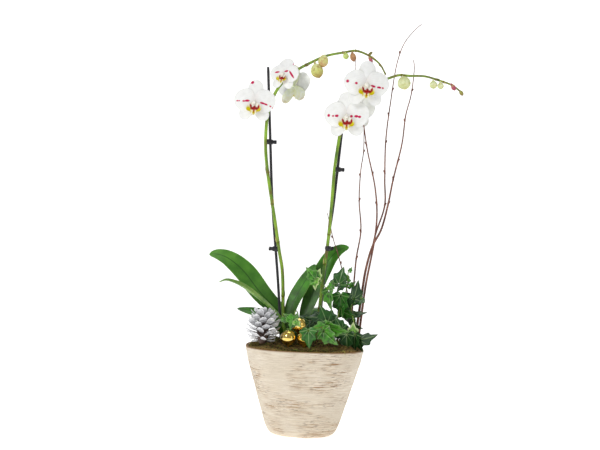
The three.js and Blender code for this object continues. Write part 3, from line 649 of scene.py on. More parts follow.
# Living stem: satin yellow green, brown at the joints and towards the tip
def orchidStem():
    material, tree, shader = startMaterial("orchid_stem_satin", 0.42, Subsurface_Weight=0.05)
    tone = addNode(tree, "Attribute", attribute_name="tones").outputs["Fac"]
    green = mixed(tree, patches(tree, 9, (1, 1, 4), 3), toLinear("#436a14"), toLinear("#86b02e"))
    fresh = mixed(tree, patches(tree, 14, (1, 1, 2), 4, 0.56, 0.7), green, toLinear("#6a5626"))
    stops = [(0, "#000000"), (0.5, "#8a8a8a"), (1, "#ffffff")]
    aged = addNode(tree, "ValToRGB", {"Fac": tone}, stops).outputs[0]
    paint(tree, shader, mixed(tree, aged, fresh, toLinear("#75602a")))
    roughen(tree, shader, patches(tree, 1.2, (1, 1, 9), 3), 0.15, 0.4)
    return material


# Dry bract: papery straw with a brown edge
def dryBract():
    material, tree, shader = startMaterial("dry_bract_papery", 0.7)
    along = addNode(tree, "SeparateXYZ", {0: addNode(tree, "TexCoord").outputs["UV"]}).outputs[1]
    stops = [(0, "#8a9a3e"), (0.6, "#c2b070"), (1, "#7a5a34")]
    paint(tree, shader, addNode(tree, "ValToRGB", {"Fac": along}, stops).outputs[0])
    roughen(tree, shader, patches(tree, 1.5, (1, 1, 5), 3), 0.2, 0.5)
    return material


stemMaterial = orchidStem()
bractMaterial = dryBract()


def makeSpike(side):
    spike = spikes[side]
    shape = newShape()
    addTube(shape, spike["route"], spikeGirth, 16, 150, spike["joints"], 0.8, spikeAge)
    makePiece(shape, f"{side}_spike_stem", stemMaterial, [f"{side}_flower_spike"])
    curve = curveThrough(spike["route"])
    bracts = newShape()
    for i, joint in enumerate(spike["joints"]):
        along = directionOf(curve, joint)
        turn = Matrix.Rotation(i * 2.6, 3, along)
        out = turn @ along.orthogonal().normalized()
        size = 13 if joint < 0.6 else 6
        girth = spikeGirth(joint)
        route = [curve(joint) + out * (girth + 0.4), curve(joint) + along * size * 0.5 + out * (girth + 1.1)]
        route.append(curve(joint) + along * size + out * (girth + 0.9))
        width = profile([(0, 1), (0.4, 0.9), (0.8, 0.5), (1, 0.05)])
        addBlade(bracts, route, out, lambda u: girth * 1.15 * width(u), 0.5, 8, 6, cup=-0.55)
    makePiece(bracts, f"{side}_spike_bracts", bractMaterial, levels=1)


def makeCrown(side):
    low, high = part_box(f"orchid_crown_{side}")
    centre = (low + high) / 2 / mm
    foot, top = low.z / mm, high.z / mm
    girth = profile([(0, 6), (0.35, 9.6), (0.75, 10.6), (0.93, 8.4), (1, 4)])
    shape = newShape()
    route = [(centre.x, centre.y, foot), (centre.x, centre.y, top)]
    addTube(shape, route, girth, 20, 22, [0.45, 0.62, 0.78], 0.7)
    makePiece(shape, f"crown_{side}_stem", stemMaterial, [f"orchid_crown_{side}"])


for plantSide in ("left", "right"):
    makeCrown(plantSide)
    makeSpike(plantSide)
print("crowns and spikes ready")

# Orchid leaves

leafShape = profile([
    (0, 0.42), (0.12, 0.58), (0.25, 0.76), (0.4, 0.92), (0.55, 1), (0.68, 0.96), (0.78, 0.86), (0.87, 0.69),
    (0.93, 0.52), (0.97, 0.34), (0.99, 0.2), (1, 0.03),
])

leaves = {
    "leaf_left_arching": {
        "route": [
            (-33, 16, 194), (-39, 31, 216), (-52, 38, 236), (-72, 37, 254), (-91, 34, 272), (-108, 32, 292),
            (-125, 32, 313), (-146, 34, 332), (-167, 37, 345), (-186, 40, 350), (-201, 42, 349),
        ],
        "facing": (0.2, -1, 0.5), "width": 24.5, "fold": 0.12, "tone": 0.15,
    },
    "leaf_left_channelled": {
        "route": [
            (-38, 0, 194), (-50, -6, 226), (-70, -10, 246),
            (-88, -12, 260), (-108, -18, 275), (-127, -24, 288),
            (-145, -28, 297), (-161, -30, 301), (-174, -30, 297),
        ],
        "facing": (0.5, -0.16, 1), "width": 16, "fold": 0.3, "tone": 0.95,
    },
    "leaf_left_low": {
        "route": [(-43, 3, 191), (-58, 2, 214), (-76, 6, 227), (-104, 18, 236), (-139, 30, 242)],
        "facing": (0.1, -0.55, 1), "width": 17, "fold": 0.16, "tone": -0.5,
    },
    "leaf_left_upright": {
        "route": [(-32, 9, 196), (-32, 16, 236), (-24, 23, 264), (-12, 30, 288), (1, 38, 311), (16, 45, 337)],
        "facing": (-0.4, -1, 0.1), "width": 16, "fold": 0.16, "tone": -0.35,
    },
    "leaf_left_rear": {
        "route": [(-30, 16, 192), (-24, 42, 213), (-21, 74, 225), (-21, 102, 218), (-22, 126, 200)],
        "facing": (0, -0.2, 1), "width": 23, "fold": 0.14, "tone": 0.0,
    },
    "leaf_right_tall": {
        "route": [
            (1, 20, 196), (-1, 28, 232), (8, 38, 266), (18, 43, 294),
            (33, 46, 328), (47, 48, 353), (64, 50, 369),
            (83, 52, 375),
        ],
        "facing": (-0.25, -1, 0.1), "width": 19, "fold": 0.14, "tone": -0.25,
    },
    "leaf_right_low": {
        "route": [(12, 22, 192), (30, 48, 206), (54, 76, 214), (78, 98, 208), (96, 112, 192)],
        "facing": (-0.1, -0.15, 1), "width": 20, "fold": 0.16, "tone": -0.2,
    },
    "leaf_right_rear": {
        "route": [(6, 26, 194), (9, 50, 226), (12, 80, 244), (14, 110, 240), (15, 136, 220)],
        "facing": (0, -0.2, 1), "width": 23, "fold": 0.14, "tone": 0.0,
    },
}


# Waxy leaf: satin green with faint lengthwise veins, a dark line of painted shade in the midrib groove,
# painted shade darkening the foot towards the base colour, and a lighter edge that is a painted highlight
def orchidLeaf(name, dark, light, base):
    material, tree, shader = startMaterial(name, 0.36, Specular_IOR_Level=0.3)
    across, along = addNode(tree, "SeparateXYZ", {0: addNode(tree, "TexCoord").outputs["UV"]}).outputs[:2]
    centred = addNode(tree, "Math", {0: across, 1: 0.5}, operation="SUBTRACT").outputs[0]
    offset = addNode(tree, "Math", {0: centred}, operation="ABSOLUTE").outputs[0]
    lines = addNode(tree, "Math", {0: across, 1: 150}, operation="MULTIPLY").outputs[0]
    veins = addNode(tree, "Math", {0: lines}, operation="SINE").outputs[0]
    # Painted shade: a dark line down the midrib groove
    midrib = addNode(tree, "MapRange", {"Value": offset, "From Min": 0.035, "From Max": 0.008}).outputs[0]
    # Painted highlight: a lighter band along both edges of the blade
    edge = addNode(tree, "MapRange", {"Value": offset, "From Min": 0.44, "From Max": 0.495}).outputs[0]
    blade = mixed(tree, patches(tree, 26, (1, 1, 1), 3), toLinear(dark), toLinear(light))
    # Painted shade: the blade darkens towards the base colour over its lower half, towards its foot at the
    # crown
    foot = addNode(tree, "MapRange", {
        "Value": along, "From Min": 0.55, "From Max": 0.15, "To Max": 0.8,
    }).outputs[0]
    ground = mixed(tree, foot, blade, toLinear(base))
    veinShare = addNode(tree, "MapRange", {"Value": veins, "From Min": -1, "To Max": 0.16}).outputs[0]
    veined = mixed(tree, veinShare, ground, toLinear("#8fb84a"))
    grooveShaded = mixed(tree, midrib, veined, toLinear("#2a4f18"))
    paint(tree, shader, mixed(tree, edge, grooveShaded, toLinear("#a3c468")))
    roughen(tree, shader, veins, 0.12, 0.35)
    return material


def makeLeaves():
    finishes = {
        "orchid_leaf": orchidLeaf("orchid_leaf_waxy", "#2f6a1c", "#4f8c2c", "#2c5a1a"),
        # A darker copy of the same leaf, painted shade, for the leaves with a low tone
        "orchid_leaf_dark": orchidLeaf("orchid_leaf_shaded", "#1f5410", "#439020", "#12290a"),
        "lit": orchidLeaf("orchid_leaf_underside", "#4e7f28", "#86ad44", "#5d8a2e"),
    }
    for name, leaf in leaves.items():
        shape = newShape()
        width = leaf["width"]
        # A tone below -0.1 takes the painted-shade copy, and a tone above 0.5 takes the paler underside
        slotName = "orchid_leaf_dark" if leaf["tone"] < -0.1 else "orchid_leaf"
        finish = finishes["lit"] if leaf["tone"] > 0.5 else finishes[slotName]
        addBlade(shape, leaf["route"], leaf["facing"], lambda u: width * leafShape(u), 1.9, 36, 12,
                 leaf["fold"], 0.06, 1.1, 1.6)
        makePiece(shape, f"{name}_blade", finish, [name], levels=1)


makeLeaves()
print("leaves ready")

# Flowers. Each is made in its own frame, x right, y up, z out of the face, then turned into place.

flowerSettings = {"span": 42, "dorsalHalf": 16.8, "sepalHalf": 14.2, "petalHalf": 24.5}

sepalShape = profile([
    (0, 0.34), (0.12, 0.5), (0.25, 0.72), (0.4, 0.91), (0.55, 1), (0.68, 0.99), (0.8, 0.9), (0.89, 0.73),
    (0.95, 0.53), (0.985, 0.31), (1, 0.05),
])
petalShape = profile([
    (0, 0.34), (0.07, 0.52), (0.14, 0.73), (0.25, 0.94), (0.38, 1.04),
    (0.5, 1.03), (0.62, 0.97), (0.74, 0.86),
    (0.84, 0.7), (0.92, 0.51), (0.97, 0.32), (0.99, 0.19), (1, 0.04),
])

# Marks are (x, y, half length, half height, turn) on the face of a flower of size 1
plainMarks = [
    (-36, 3, 2.6, 2.4, 0), (-20, 2, 2.4, 2.2, 0), (13, -1, 4.4, 2.1, -6),
    (26, -2, 3.8, 1.8, 0), (33, -3, 1.6, 1.5, 0),
]

flowers = {
    "flower_left_low": {
        "turn": -5, "tilt": 2, "roll": -2, "size": 1, "stalk": [(-94, 14, 625), (-102, 12, 642)],
        "marks": [
            (-35, 2, 1.7, 1.3, 0), (-31, 2, 1.7, 1.1, 0), (-22, 2, 2.4, 1.6, 0), (-15, 3, 4.6, 2, 5),
            (16, 0, 4.6, 1.9, -15), (23, -2, 3.2, 1.7, -20), (32, -5, 1.8, 1.3, -30), (37, -8, 1.4, 1.1, 0),
        ],
        "sepalMarks": [(-8, 41, 3.1, 3, 0)],
    },
    "flower_left_high": {
        "turn": -28, "tilt": 12, "roll": -4, "size": 0.77, "dorsalHalf": 23.4,
        "stalk": [(-73, 7, 689), (-71, -4, 697)],
        "marks": [(-20, 6, 6.5, 2.2, 8), (6, 10, 5.5, 2.4, 8), (23, 2, 11, 2.4, -48)],
        "sepalMarks": [(17, 26, 2.4, 2.2, 0), (21, 31, 2, 1.8, 0)],
    },
    "flower_left_turned": {
        "turn": 145, "tilt": -8, "roll": -8, "size": 0.95, "stalk": [(-61, 4, 705), (-56, 10, 702)],
        "marks": plainMarks, "sepalMarks": [], "sepalTint": "#dcdf98",
    },
    "flower_right_high": {
        "turn": 4, "tilt": 3, "roll": -3, "size": 1.08, "stalk": [(88, 24, 688), (96, 6, 690)],
        "marks": [
            (-35, 5, 2.5, 2.5, 0), (-19, 2.5, 2.3, 2, 0), (12, -0.5, 4.4, 2, -8), (23.5, -1.5, 3.6, 1.8, 0),
            (30.5, -1.5, 1.8, 1.5, 0),
        ],
        "sepalMarks": [],
    },
    "flower_right_low": {
        "turn": -6, "tilt": 0, "roll": 2, "size": 1.08, "stalk": [(57, 20, 614), (62, 8, 622)],
        "marks": [
            (-33, 3, 2.2, 2.4, 0), (-25, 2, 1.8, 1.6, 0), (-18, 2, 3.2, 2.1, 0), (9, 1, 2.4, 2.1, 0),
            (18, 1, 3.4, 2.2, 0), (24, 0, 2.8, 2, 0),
        ],
        "sepalMarks": [],
    },
    "flower_right_turned": {
        "turn": 168, "tilt": -4, "roll": 0, "size": 1, "stalk": [(68, 22, 655), (74, 36, 650)],
        "marks": plainMarks, "sepalMarks": [],
    },
}

lipRed = [
    (-6, -8, 1.9, 5, 18), (-2, -12.5, 5, 3, -12), (1.5, -11, 2.8, 5, 0), (6, -12, 4.6, 2.8, 14),
    (9.5, -8.5, 1.9, 4.5, -12), (1, -17, 1.4, 4, 0),
]
lipYellow = [(-10, -15.5, 6, 8, 10), (0.5, -20, 3, 5, 0), (10, -15, 6, 7.5, -12)]


# How far each place on a flower's face is inside the marks, from 0 to 1, with slightly ragged edges
def markField(tree, marks, ragged=1.4, soft=0.95):
    place = addNode(tree, "TexCoord").outputs["Object"]
    flat = addNode(tree, "VectorMath", {0: place, 1: (1, 1, 0)}, operation="MULTIPLY").outputs[0]
    grain = 1 / (2.4 * mm)
    wobble = addNode(tree, "TexNoise", {"Vector": flat, "Scale": grain, "Detail": 1}).outputs["Color"]
    centred = addNode(tree, "VectorMath", {0: wobble, 1: (0.5, 0.5, 0.5)}, operation="SUBTRACT").outputs[0]
    shift = addNode(tree, "VectorMath", {0: centred, 1: (ragged * mm, ragged * mm, 0)}, operation="MULTIPLY")
    moved = addNode(tree, "VectorMath", {0: flat, 1: shift.outputs[0]}, operation="ADD").outputs[0]
    total = None
    for x, y, halfLength, halfHeight, turn in marks:
        local = addNode(tree, "Mapping", {
            "Vector": moved, "Location": (x * mm, y * mm, 0), "Rotation": (0, 0, math.radians(turn)),
            "Scale": (halfLength * mm, halfHeight * mm, 1),
        }, vector_type="TEXTURE").outputs[0]
        distance = addNode(tree, "VectorMath", {0: local}, operation="LENGTH").outputs["Value"]
        inside = addNode(tree, "MapRange", {"Value": distance, "From Min": 1.28, "From Max": soft}).outputs[0]
        if total is None:
            total = inside
        else:
            total = addNode(tree, "Math", {0: total, 1: inside}, operation="MAXIMUM").outputs[0]
    return total


# Soft white petal tissue: matt with a faint sheen, fine veins and a green tinge at the heart
def petalTissue(name, tinge, marks):
    material, tree, shader = startMaterial(name, 0.55, Subsurface_Weight=0.1, Specular_IOR_Level=0.25)
    shader.inputs["Subsurface Radius"].default_value = (0.004, 0.004, 0.003)
    uv = addNode(tree, "TexCoord").outputs["UV"]
    across, along = addNode(tree, "SeparateXYZ", {0: uv}).outputs[:2]
    lines = addNode(tree, "Math", {0: across, 1: 95}, operation="MULTIPLY").outputs[0]
    veins = addNode(tree, "Math", {0: lines}, operation="SINE").outputs[0]
    cloud = patches(tree, 9, (1, 1, 1), 3, 0.3, 0.7)
    white = mixed(tree, cloud, toLinear("#f4f4f2"), toLinear("#eaeae7"))
    faint = addNode(tree, "MapRange", {"Value": veins, "From Min": -1, "To Max": 0.12}).outputs[0]
    lined = mixed(tree, faint, white, toLinear("#c6c8c0"))
    heart = addNode(tree, "MapRange", {
        "Value": along, "From Min": 0.3, "From Max": 0.0, "To Max": 0.55,
    }).outputs[0]
    colour = mixed(tree, heart, lined, toLinear(tinge))
    if marks:
        facing = addNode(tree, "SeparateXYZ", {0: addNode(tree, "TexCoord").outputs["Normal"]}).outputs[2]
        front = addNode(tree, "Math", {0: facing, 1: 0.0}, operation="GREATER_THAN").outputs[0]
        marked = addNode(tree, "Math", {0: markField(tree, marks), 1: front}, operation="MULTIPLY").outputs[0]
        colour = mixed(tree, marked, colour, toLinear("#c2004c"))
    paint(tree, shader, colour)
    roughen(tree, shader, veins, 0.12, 0.4)
    return material


# Outside of a young sepal: cream with a yellow green flush and a pinkish olive tip
def tintedSepal(name, tint):
    material, tree, shader = startMaterial(name, 0.55, Subsurface_Weight=0.1)
    along = addNode(tree, "SeparateXYZ", {0: addNode(tree, "TexCoord").outputs["UV"]}).outputs[1]
    stops = [(0, tint), (0.45, "#e9ecc4"), (0.8, "#e4e4bc"), (1, "#b59a7c")]
    flush = addNode(tree, "ValToRGB", {"Fac": along}, stops).outputs[0]
    paint(tree, shader, mixed(tree, patches(tree, 7), flush, toLinear("#eff0e2")))
    roughen(tree, shader, patches(tree, 1.5, (1, 6, 1), 3), 0.12, 0.4)
    return material


# Lip: white and yellow with a dark red pattern at the throat
def lipTissue():
    material, tree, shader = startMaterial("lip_tissue_waxy", 0.4, Specular_IOR_Level=0.2)
    white = mixed(tree, patches(tree, 3), toLinear("#f3f1ea"), toLinear("#e6e2cf"))
    yellow = mixed(tree, patches(tree, 2.5), toLinear("#d6c600"), toLinear("#bfae00"))
    golden = mixed(tree, markField(tree, lipYellow, 2.5, 0.6), white, yellow)
    red = mixed(tree, patches(tree, 2), toLinear("#a80808"), toLinear("#860606"))
    paint(tree, shader, mixed(tree, markField(tree, lipRed, 1.8, 0.7), golden, red))
    roughen(tree, shader, patches(tree, 1.4), 0.2, 0.4)
    return material


def sepalShapes(dorsalHalf):
    span, sideHalf = flowerSettings["span"], flowerSettings["sepalHalf"]
    shape = newShape()
    for x, y, half in ((0, 1.12, dorsalHalf), (-0.62, -0.78, sideHalf), (0.62, -0.78, sideHalf)):
        route = [(0, 0, 0), (x * span * 0.5, y * span * 0.5, 0.4), (x * span, y * span, -3)]
        addBlade(shape, route, (0, 0, 1), lambda u: half * sepalShape(u), 0.8, 16, 10, 0, -0.1, 0.8, 1.2)
    return shape


def petalShapes():
    span, half = flowerSettings["span"], flowerSettings["petalHalf"]
    shape = newShape()
    for side in (1, -1):
        route = [(-side * 0.5, 1, 1.9), (side * 18, 4.5, 2.9), (side * span, 7.5, -0.6)]
        addBlade(shape, route, (0, 0, 1), lambda u: half * petalShape(u), 0.8, 18, 14, 0, -0.1, 1.2, 1.3)
    return shape


def lipShapes():
    shape = newShape()
    hood = profile([(0, 2.6), (0.3, 3.4), (0.7, 3.9), (0.92, 3), (1, 1.2)])
    addTube(shape, [(0, 3, 3.4), (0, 1, 8), (0, -3.4, 11.4)], hood, 14, 12)
    for side in (1, -1):
        route = [(side * 0.5, 0, 4.8), (side * 6, -8, 8), (side * 13, -17, 10.5)]
        lobe = lambda u: 7.8 * sepalShape(u)
        addBlade(shape, route, (-side * 0.3, 0.2, 0.9), lobe, 0.9, 10, 8, 0, 0.3, 0.6, 1)
    front = profile([
        (0, 2.8), (0.2, 3.6), (0.4, 4.6), (0.6, 7.2), (0.74, 8.2), (0.86, 6), (0.95, 3), (1, 0.6),
    ])
    route = [(0, 0, 4.8), (0, -13, 9.4), (0, -26, 8)]
    addBlade(shape, route, (0, 0.3, 1), front, 1.2, 14, 10, 0, 0.22, 0.5, 1.2)
    for side in (1, -1):
        addTube(shape, [(side * 1.2, -24, 8.4), (side * 3.4, -27, 9.6), (side * 6, -25.5, 11.6)],
                lambda u: 0.55 - 0.35 * u, 6, 8)  # curled tendrils at the tip
    addEgg(shape, (0, -8.5, 8.2), (0, -12.5, 10.4), 3, sides=12, steps=8)  # raised callus
    return shape


def makeFlower(name, flower, lipMaterial):
    turned = Matrix.Rotation(math.radians(flower["turn"]), 4, "Z")
    tilted = Matrix.Rotation(math.pi / 2 - math.radians(flower["tilt"]), 4, "X")
    rolled = Matrix.Rotation(math.radians(flower["roll"]), 4, "Z")
    facing = turned @ tilted @ rolled @ Matrix.Scale(flower["size"], 4)
    petals = petalShapes()
    corners = [facing @ (p * mm) for p in petals["points"]]
    middle = Vector([(min(c[i] for c in corners) + max(c[i] for c in corners)) / 2 for i in range(3)])
    matrix = Matrix.Translation(boxCentre(f"{name}_petals") - middle) @ facing
    sepalTint = flower.get("sepalTint")
    if sepalTint:
        sepalMaterial = tintedSepal(f"{name}_sepal_tissue", sepalTint)
    else:
        sepalMaterial = petalTissue(f"{name}_sepal_tissue", "#dfe6b4", flower["sepalMarks"])
    petalMaterial = petalTissue(f"{name}_petal_tissue", "#e6ddd8", flower["marks"])
    sepals = sepalShapes(flower.get("dorsalHalf", flowerSettings["dorsalHalf"]))
    makePiece(sepals, f"{name}_sepal_blades", sepalMaterial, [f"{name}_sepals"], matrix, 1)
    makePiece(petals, f"{name}_petal_blades", petalMaterial, [f"{name}_petals"], matrix, 1)
    makePiece(lipShapes(), f"{name}_lip_parts", lipMaterial, [f"{name}_lip"], matrix, 1)
    stalk = newShape()
    behind = [(matrix @ (Vector((0, 0, z)) * mm)) / mm for z in (-7, -0.6)]
    addTube(stalk, [*flower["stalk"], *behind], profile([(0, 1.5), (0.8, 1.6), (1, 2.8)]), 12, 18)
    makePiece(stalk, f"{name}_stalk", paleStemMaterial)


# Flower stalk: pale green, almost white where it meets the flower
def paleStem():
    material, tree, shader = startMaterial("flower_stalk_satin", 0.45)
    along = addNode(tree, "SeparateXYZ", {0: addNode(tree, "TexCoord").outputs["UV"]}).outputs[1]
    stops = [(0, "#7f9f3a"), (0.6, "#b9cb84"), (1, "#e6ead2")]
    paint(tree, shader, addNode(tree, "ValToRGB", {"Fac": along}, stops).outputs[0])
    roughen(tree, shader, patches(tree, 1.5, (1, 1, 5), 3), 0.15, 0.4)
    return material


paleStemMaterial = paleStem()
lipMaterial = lipTissue()
for flowerName, flowerFacts in flowers.items():
    makeFlower(flowerName, flowerFacts, lipMaterial)
print("flowers ready")

# Buds: where each leaves the spike, its base, its tip, its radius and its colours from base to tip

greenBud = ["#c3cb86", "#e2e6b8", "#b9bd78"]
tanBud = ["#d3d994", "#cfd183", "#b58c5c"]
buds = {
    "bud_left_1": [(-3, -5, 746), (-2, -9, 738), (8, -10, 710), 12.5, ["#d4d89a", "#cfd27a", "#94782e"]],
    "bud_left_2": [(17, -5, 754), (16, -11, 756), (13, -14, 731), 10.3, tanBud],
    "bud_left_3": [(57, -6, 764), (58, -10, 762), (60, -12, 749), 6, ["#b3c65e", "#c8d884", "#a3b85a"]],
    "bud_left_4": [(73, -5, 766), (71, -9, 763), (76, -13, 745), 6.2, ["#a67c4c", "#bd8f62", "#8a5f3c"]],
    "bud_right_1": [(172, 5, 724), (175, 3, 721), (181, 0, 695), 13.5, greenBud],
    "bud_right_2": [(236, -2, 718), (235, -4, 714), (237, -6, 698), 8, greenBud],
    "bud_right_3": [(250, -3, 715), (249, -5, 711), (252, -6, 698), 6.5, greenBud],
    "bud_right_4": [(270, -4, 709), (272, -10, 708), (279, -11, 696), 4.6, ["#a8a050", "#b5526a", "#8f3c50"]],
}


# Closed bud: satin skin that changes colour from base to tip, with faint lengthwise veins
def budSkin(name, colours):
    material, tree, shader = startMaterial(name, 0.45, Subsurface_Weight=0.06)
    along = addNode(tree, "SeparateXYZ", {0: addNode(tree, "TexCoord").outputs["UV"]}).outputs[1]
    stops = list(zip((0.05, 0.5, 0.98), colours))
    skin = addNode(tree, "ValToRGB", {"Fac": along}, stops).outputs[0]
    paint(tree, shader, mixed(tree, patches(tree, 6, (1, 1, 1), 3, 0.5, 0.75), skin, toLinear(colours[2])))
    roughen(tree, shader, patches(tree, 1.4, (1, 1, 6), 3), 0.2, 0.4)
    return material


def makeBuds():
    for name, (root, base, tip, radius, colours) in buds.items():
        shape = newShape()
        addEgg(shape, base, tip, radius, 0.55, 0.3, 24, 20, lobes=3)
        addTube(shape, [root, base, between(Vector(base), Vector(tip), 0.12)], lambda u: 1.4 + 0.9 * u, 10, 8)
        makePiece(shape, f"{name}_skin", budSkin(f"{name}_skin_satin", colours), [name], levels=1)
    for side, spike in spikes.items():
        for i, (base, tip, radius, colours) in enumerate(spike["tips"]):
            shape = newShape()
            addEgg(shape, base, tip, radius, 0.5, 0.4, 16, 12, lobes=3)
            name = f"{side}_tip_bud_{i + 1}"
            makePiece(shape, name, budSkin(f"{name}_satin", colours), levels=1)


makeBuds()
print("buds ready")

# Ivy. A leaf is (x, y, z, length, heading, lean, roll, tone)

leafTones = {"dark": 0.0, "veined": 0.25, "mid": 0.4, "young": 0.65, "pale": 1.0}

vines = {
    "ivy_tall": {
        "slot": "ivy",
        "stems": [
            [(60, -18, 163), (58, -18, 186), (52, -20, 234), (48, -24, 270),
             (45, -26, 289), (35, -28, 296), (19, -30, 305)],
            [(57, -18, 200), (67, -14, 254), (76, -8, 278), (80, -2, 300), (81, 0, 326)],
        ],
        "leaves": [
            (17, -30, 307, 34, 125, 10, 20, "young"), (18, -26, 307, 26, 80, 0, -30, "pale"),
            (16, -32, 311, 23, -95, 20, 30, "pale"), (47, -20, 294, 17, 75, 0, 0, "young"),
            (63, -10, 300, 38, 80, 0, -20, "veined"), (73, -12, 302, 22, -135, 10, 30, "dark"),
            (44, -25, 290, 41, -90, 10, 55, "young"), (79, 0, 306, 21, 100, 0, 40, "young"),
            (83, 0, 327, 11, 55, 0, 20, "young"), (82, 0, 298, 19, 25, 0, 40, "young"),
            (68, -15, 280, 46, -90, 5, 35, "mid"),
            (52, -19, 236, 30, 170, -30, 0, "dark"), (71, -11, 262, 28, -20, -35, 0, "dark"),
            (58, -4, 200, 30, 60, 0, 0, "dark"), (76, 4, 198, 34, 100, -10, 20, "dark"),
            (44, -6, 202, 28, 115, -5, 0, "dark"),
        ],
    },
    "ivy_right": {
        "slot": "ivy",
        "stems": [
            [(88, -28, 163), (90, -28, 183), (96, -22, 222), (89, -6, 255), (93, 2, 272), (107, 5, 275)],
            [(90, -28, 183), (98, -42, 202), (104, -34, 198)],
        ],
        "leaves": [
            (93, 0, 272, 40, 70, 0, 35, "dark"), (111, 5, 275, 25, -140, 0, 20, "veined"),
            (74, -5, 278, 35, -65, 5, 10, "dark"), (92, 10, 244, 32, -5, 0, 55, "dark"),
            (69, -10, 250, 35, -30, 15, 40, "mid"), (92, -45, 202, 28, 85, 0, 10, "pale"),
            (81, -60, 207, 37, -90, 5, 30, "dark"), (97, -55, 207, 37, -95, 5, 40, "dark"),
            (103, -50, 199, 30, -75, 5, 50, "dark"), (105, -30, 194, 41, 10, 0, 35, "dark"),
            (94, -20, 222, 22, -25, 5, 50, "dark"), (96, 14, 216, 30, 40, -60, 0, "mid"),
            (91, 2, 262, 32, 150, -40, 0, "mid"), (95, -14, 236, 32, -160, -45, 0, "dark"),
        ],
    },
    "ivy_front": {
        "slot": "ivy_young",
        "stems": [
            [(52, -44, 163), (51, -46, 183), (46, -62, 204), (42, -70, 220), (24, -84, 219), (6, -97, 217)],
            [(51, -46, 183), (50, -38, 224), (34, -14, 231), (11, -2, 223)],
        ],
        "leaves": [
            (42, -45, 224, 40, 110, 5, 20, "veined"), (52, -30, 227, 26, 95, 0, 0, "veined"),
            (43, -70, 220, 35, 180, 10, 50, "young"), (43, -72, 222, 44, -20, 10, 45, "young"),
            (34, -80, 213, 40, -45, 15, 20, "young"), (71, -50, 216, 27, 120, 0, 10, "veined"),
            (5, -98, 215, 36, -85, 6, 0, "mid"), (32, -10, 233, 32, 175, 0, 30, "dark"),
            (9, 0, 223, 26, 150, 0, 10, "dark"), (20, -7, 227, 30, -100, 10, 20, "dark"),
            (40, -22, 231, 32, -75, 5, -20, "dark"), (51, -38, 220, 28, -120, 5, 10, "dark"),
        ],
    },
    "ivy_left": {
        "slot": "ivy_young",
        "stems": [[
            (-6, -38, 163), (-5, -36, 184), (-12, -32, 222),
            (-18, -44, 246), (-22, -62, 246), (-24, -76, 234),
            (-38, -66, 230),
        ]],
        "leaves": [
            (-25, -77, 229, 24, 140, 10, 20, "young"), (-23, -76, 229, 19, 70, 0, -20, "young"),
            (-25, -80, 229, 18, -105, 10, -10, "young"), (-21, -80, 230, 17, -45, 0, 0, "pale"),
            (-39, -62, 228, 18, 160, 0, 45, "young"), (-12, -36, 214, 26, 150, -40, 0, "young"),
            (-15, -20, 187, 26, 95, 0, 0, "dark"),
        ],
    },
}

# Half of the lobed outline: degrees from the tip direction against distance from the stalk
ivyOutline = profile([
    (0, 1), (6, 0.87), (14, 0.7), (22, 0.63), (30, 0.66), (38, 0.7), (45, 0.58), (54, 0.44), (66, 0.45),
    (80, 0.53), (90, 0.47), (104, 0.34), (125, 0.25), (150, 0.16), (168, 0.06),
])
ivyVeins = (0, 38, 80, 126)


# Ivy: satin leaf with pale veins. Older leaves are dark, young ones bright, some with a cream edge.
def ivySkin():
    material, tree, shader = startMaterial("ivy_leaf_satin", 0.36, Specular_IOR_Level=0.4)
    tone = addNode(tree, "Attribute", attribute_name="tones").outputs["Fac"]
    gap = addNode(tree, "Attribute", attribute_name="veins").outputs["Fac"]
    out = addNode(tree, "SeparateXYZ", {0: addNode(tree, "TexCoord").outputs["UV"]}).outputs[1]
    stops = [(0, "#173f14"), (0.25, "#275c1e"), (0.42, "#357522"), (0.65, "#4f9c28"), (1, "#84c04a")]
    ground = addNode(tree, "ValToRGB", {"Fac": tone}, stops).outputs[0]
    cloud = mixed(tree, patches(tree, 7, (1, 1, 1), 4, 0.42, 0.66), ground, toLinear("#1d4714"))
    vein = addNode(tree, "MapRange", {
        "Value": gap, "From Min": 0.026, "From Max": 0.008, "To Max": 0.5,
    }).outputs[0]
    veined = mixed(tree, vein, cloud, toLinear("#a9c886"))
    rim = addNode(tree, "MapRange", {"Value": out, "From Min": 0.72, "From Max": 0.92}).outputs[0]
    paler = addNode(tree, "MapRange", {
        "Value": tone, "From Min": 0.6, "From Max": 1.0, "To Max": 0.85,
    }).outputs[0]
    edged = addNode(tree, "Math", {0: rim, 1: paler}, operation="MULTIPLY").outputs[0]
    paint(tree, shader, mixed(tree, edged, veined, toLinear("#d3e0a4")))
    roughen(tree, shader, vein, 0.3, 0.5)
    return material


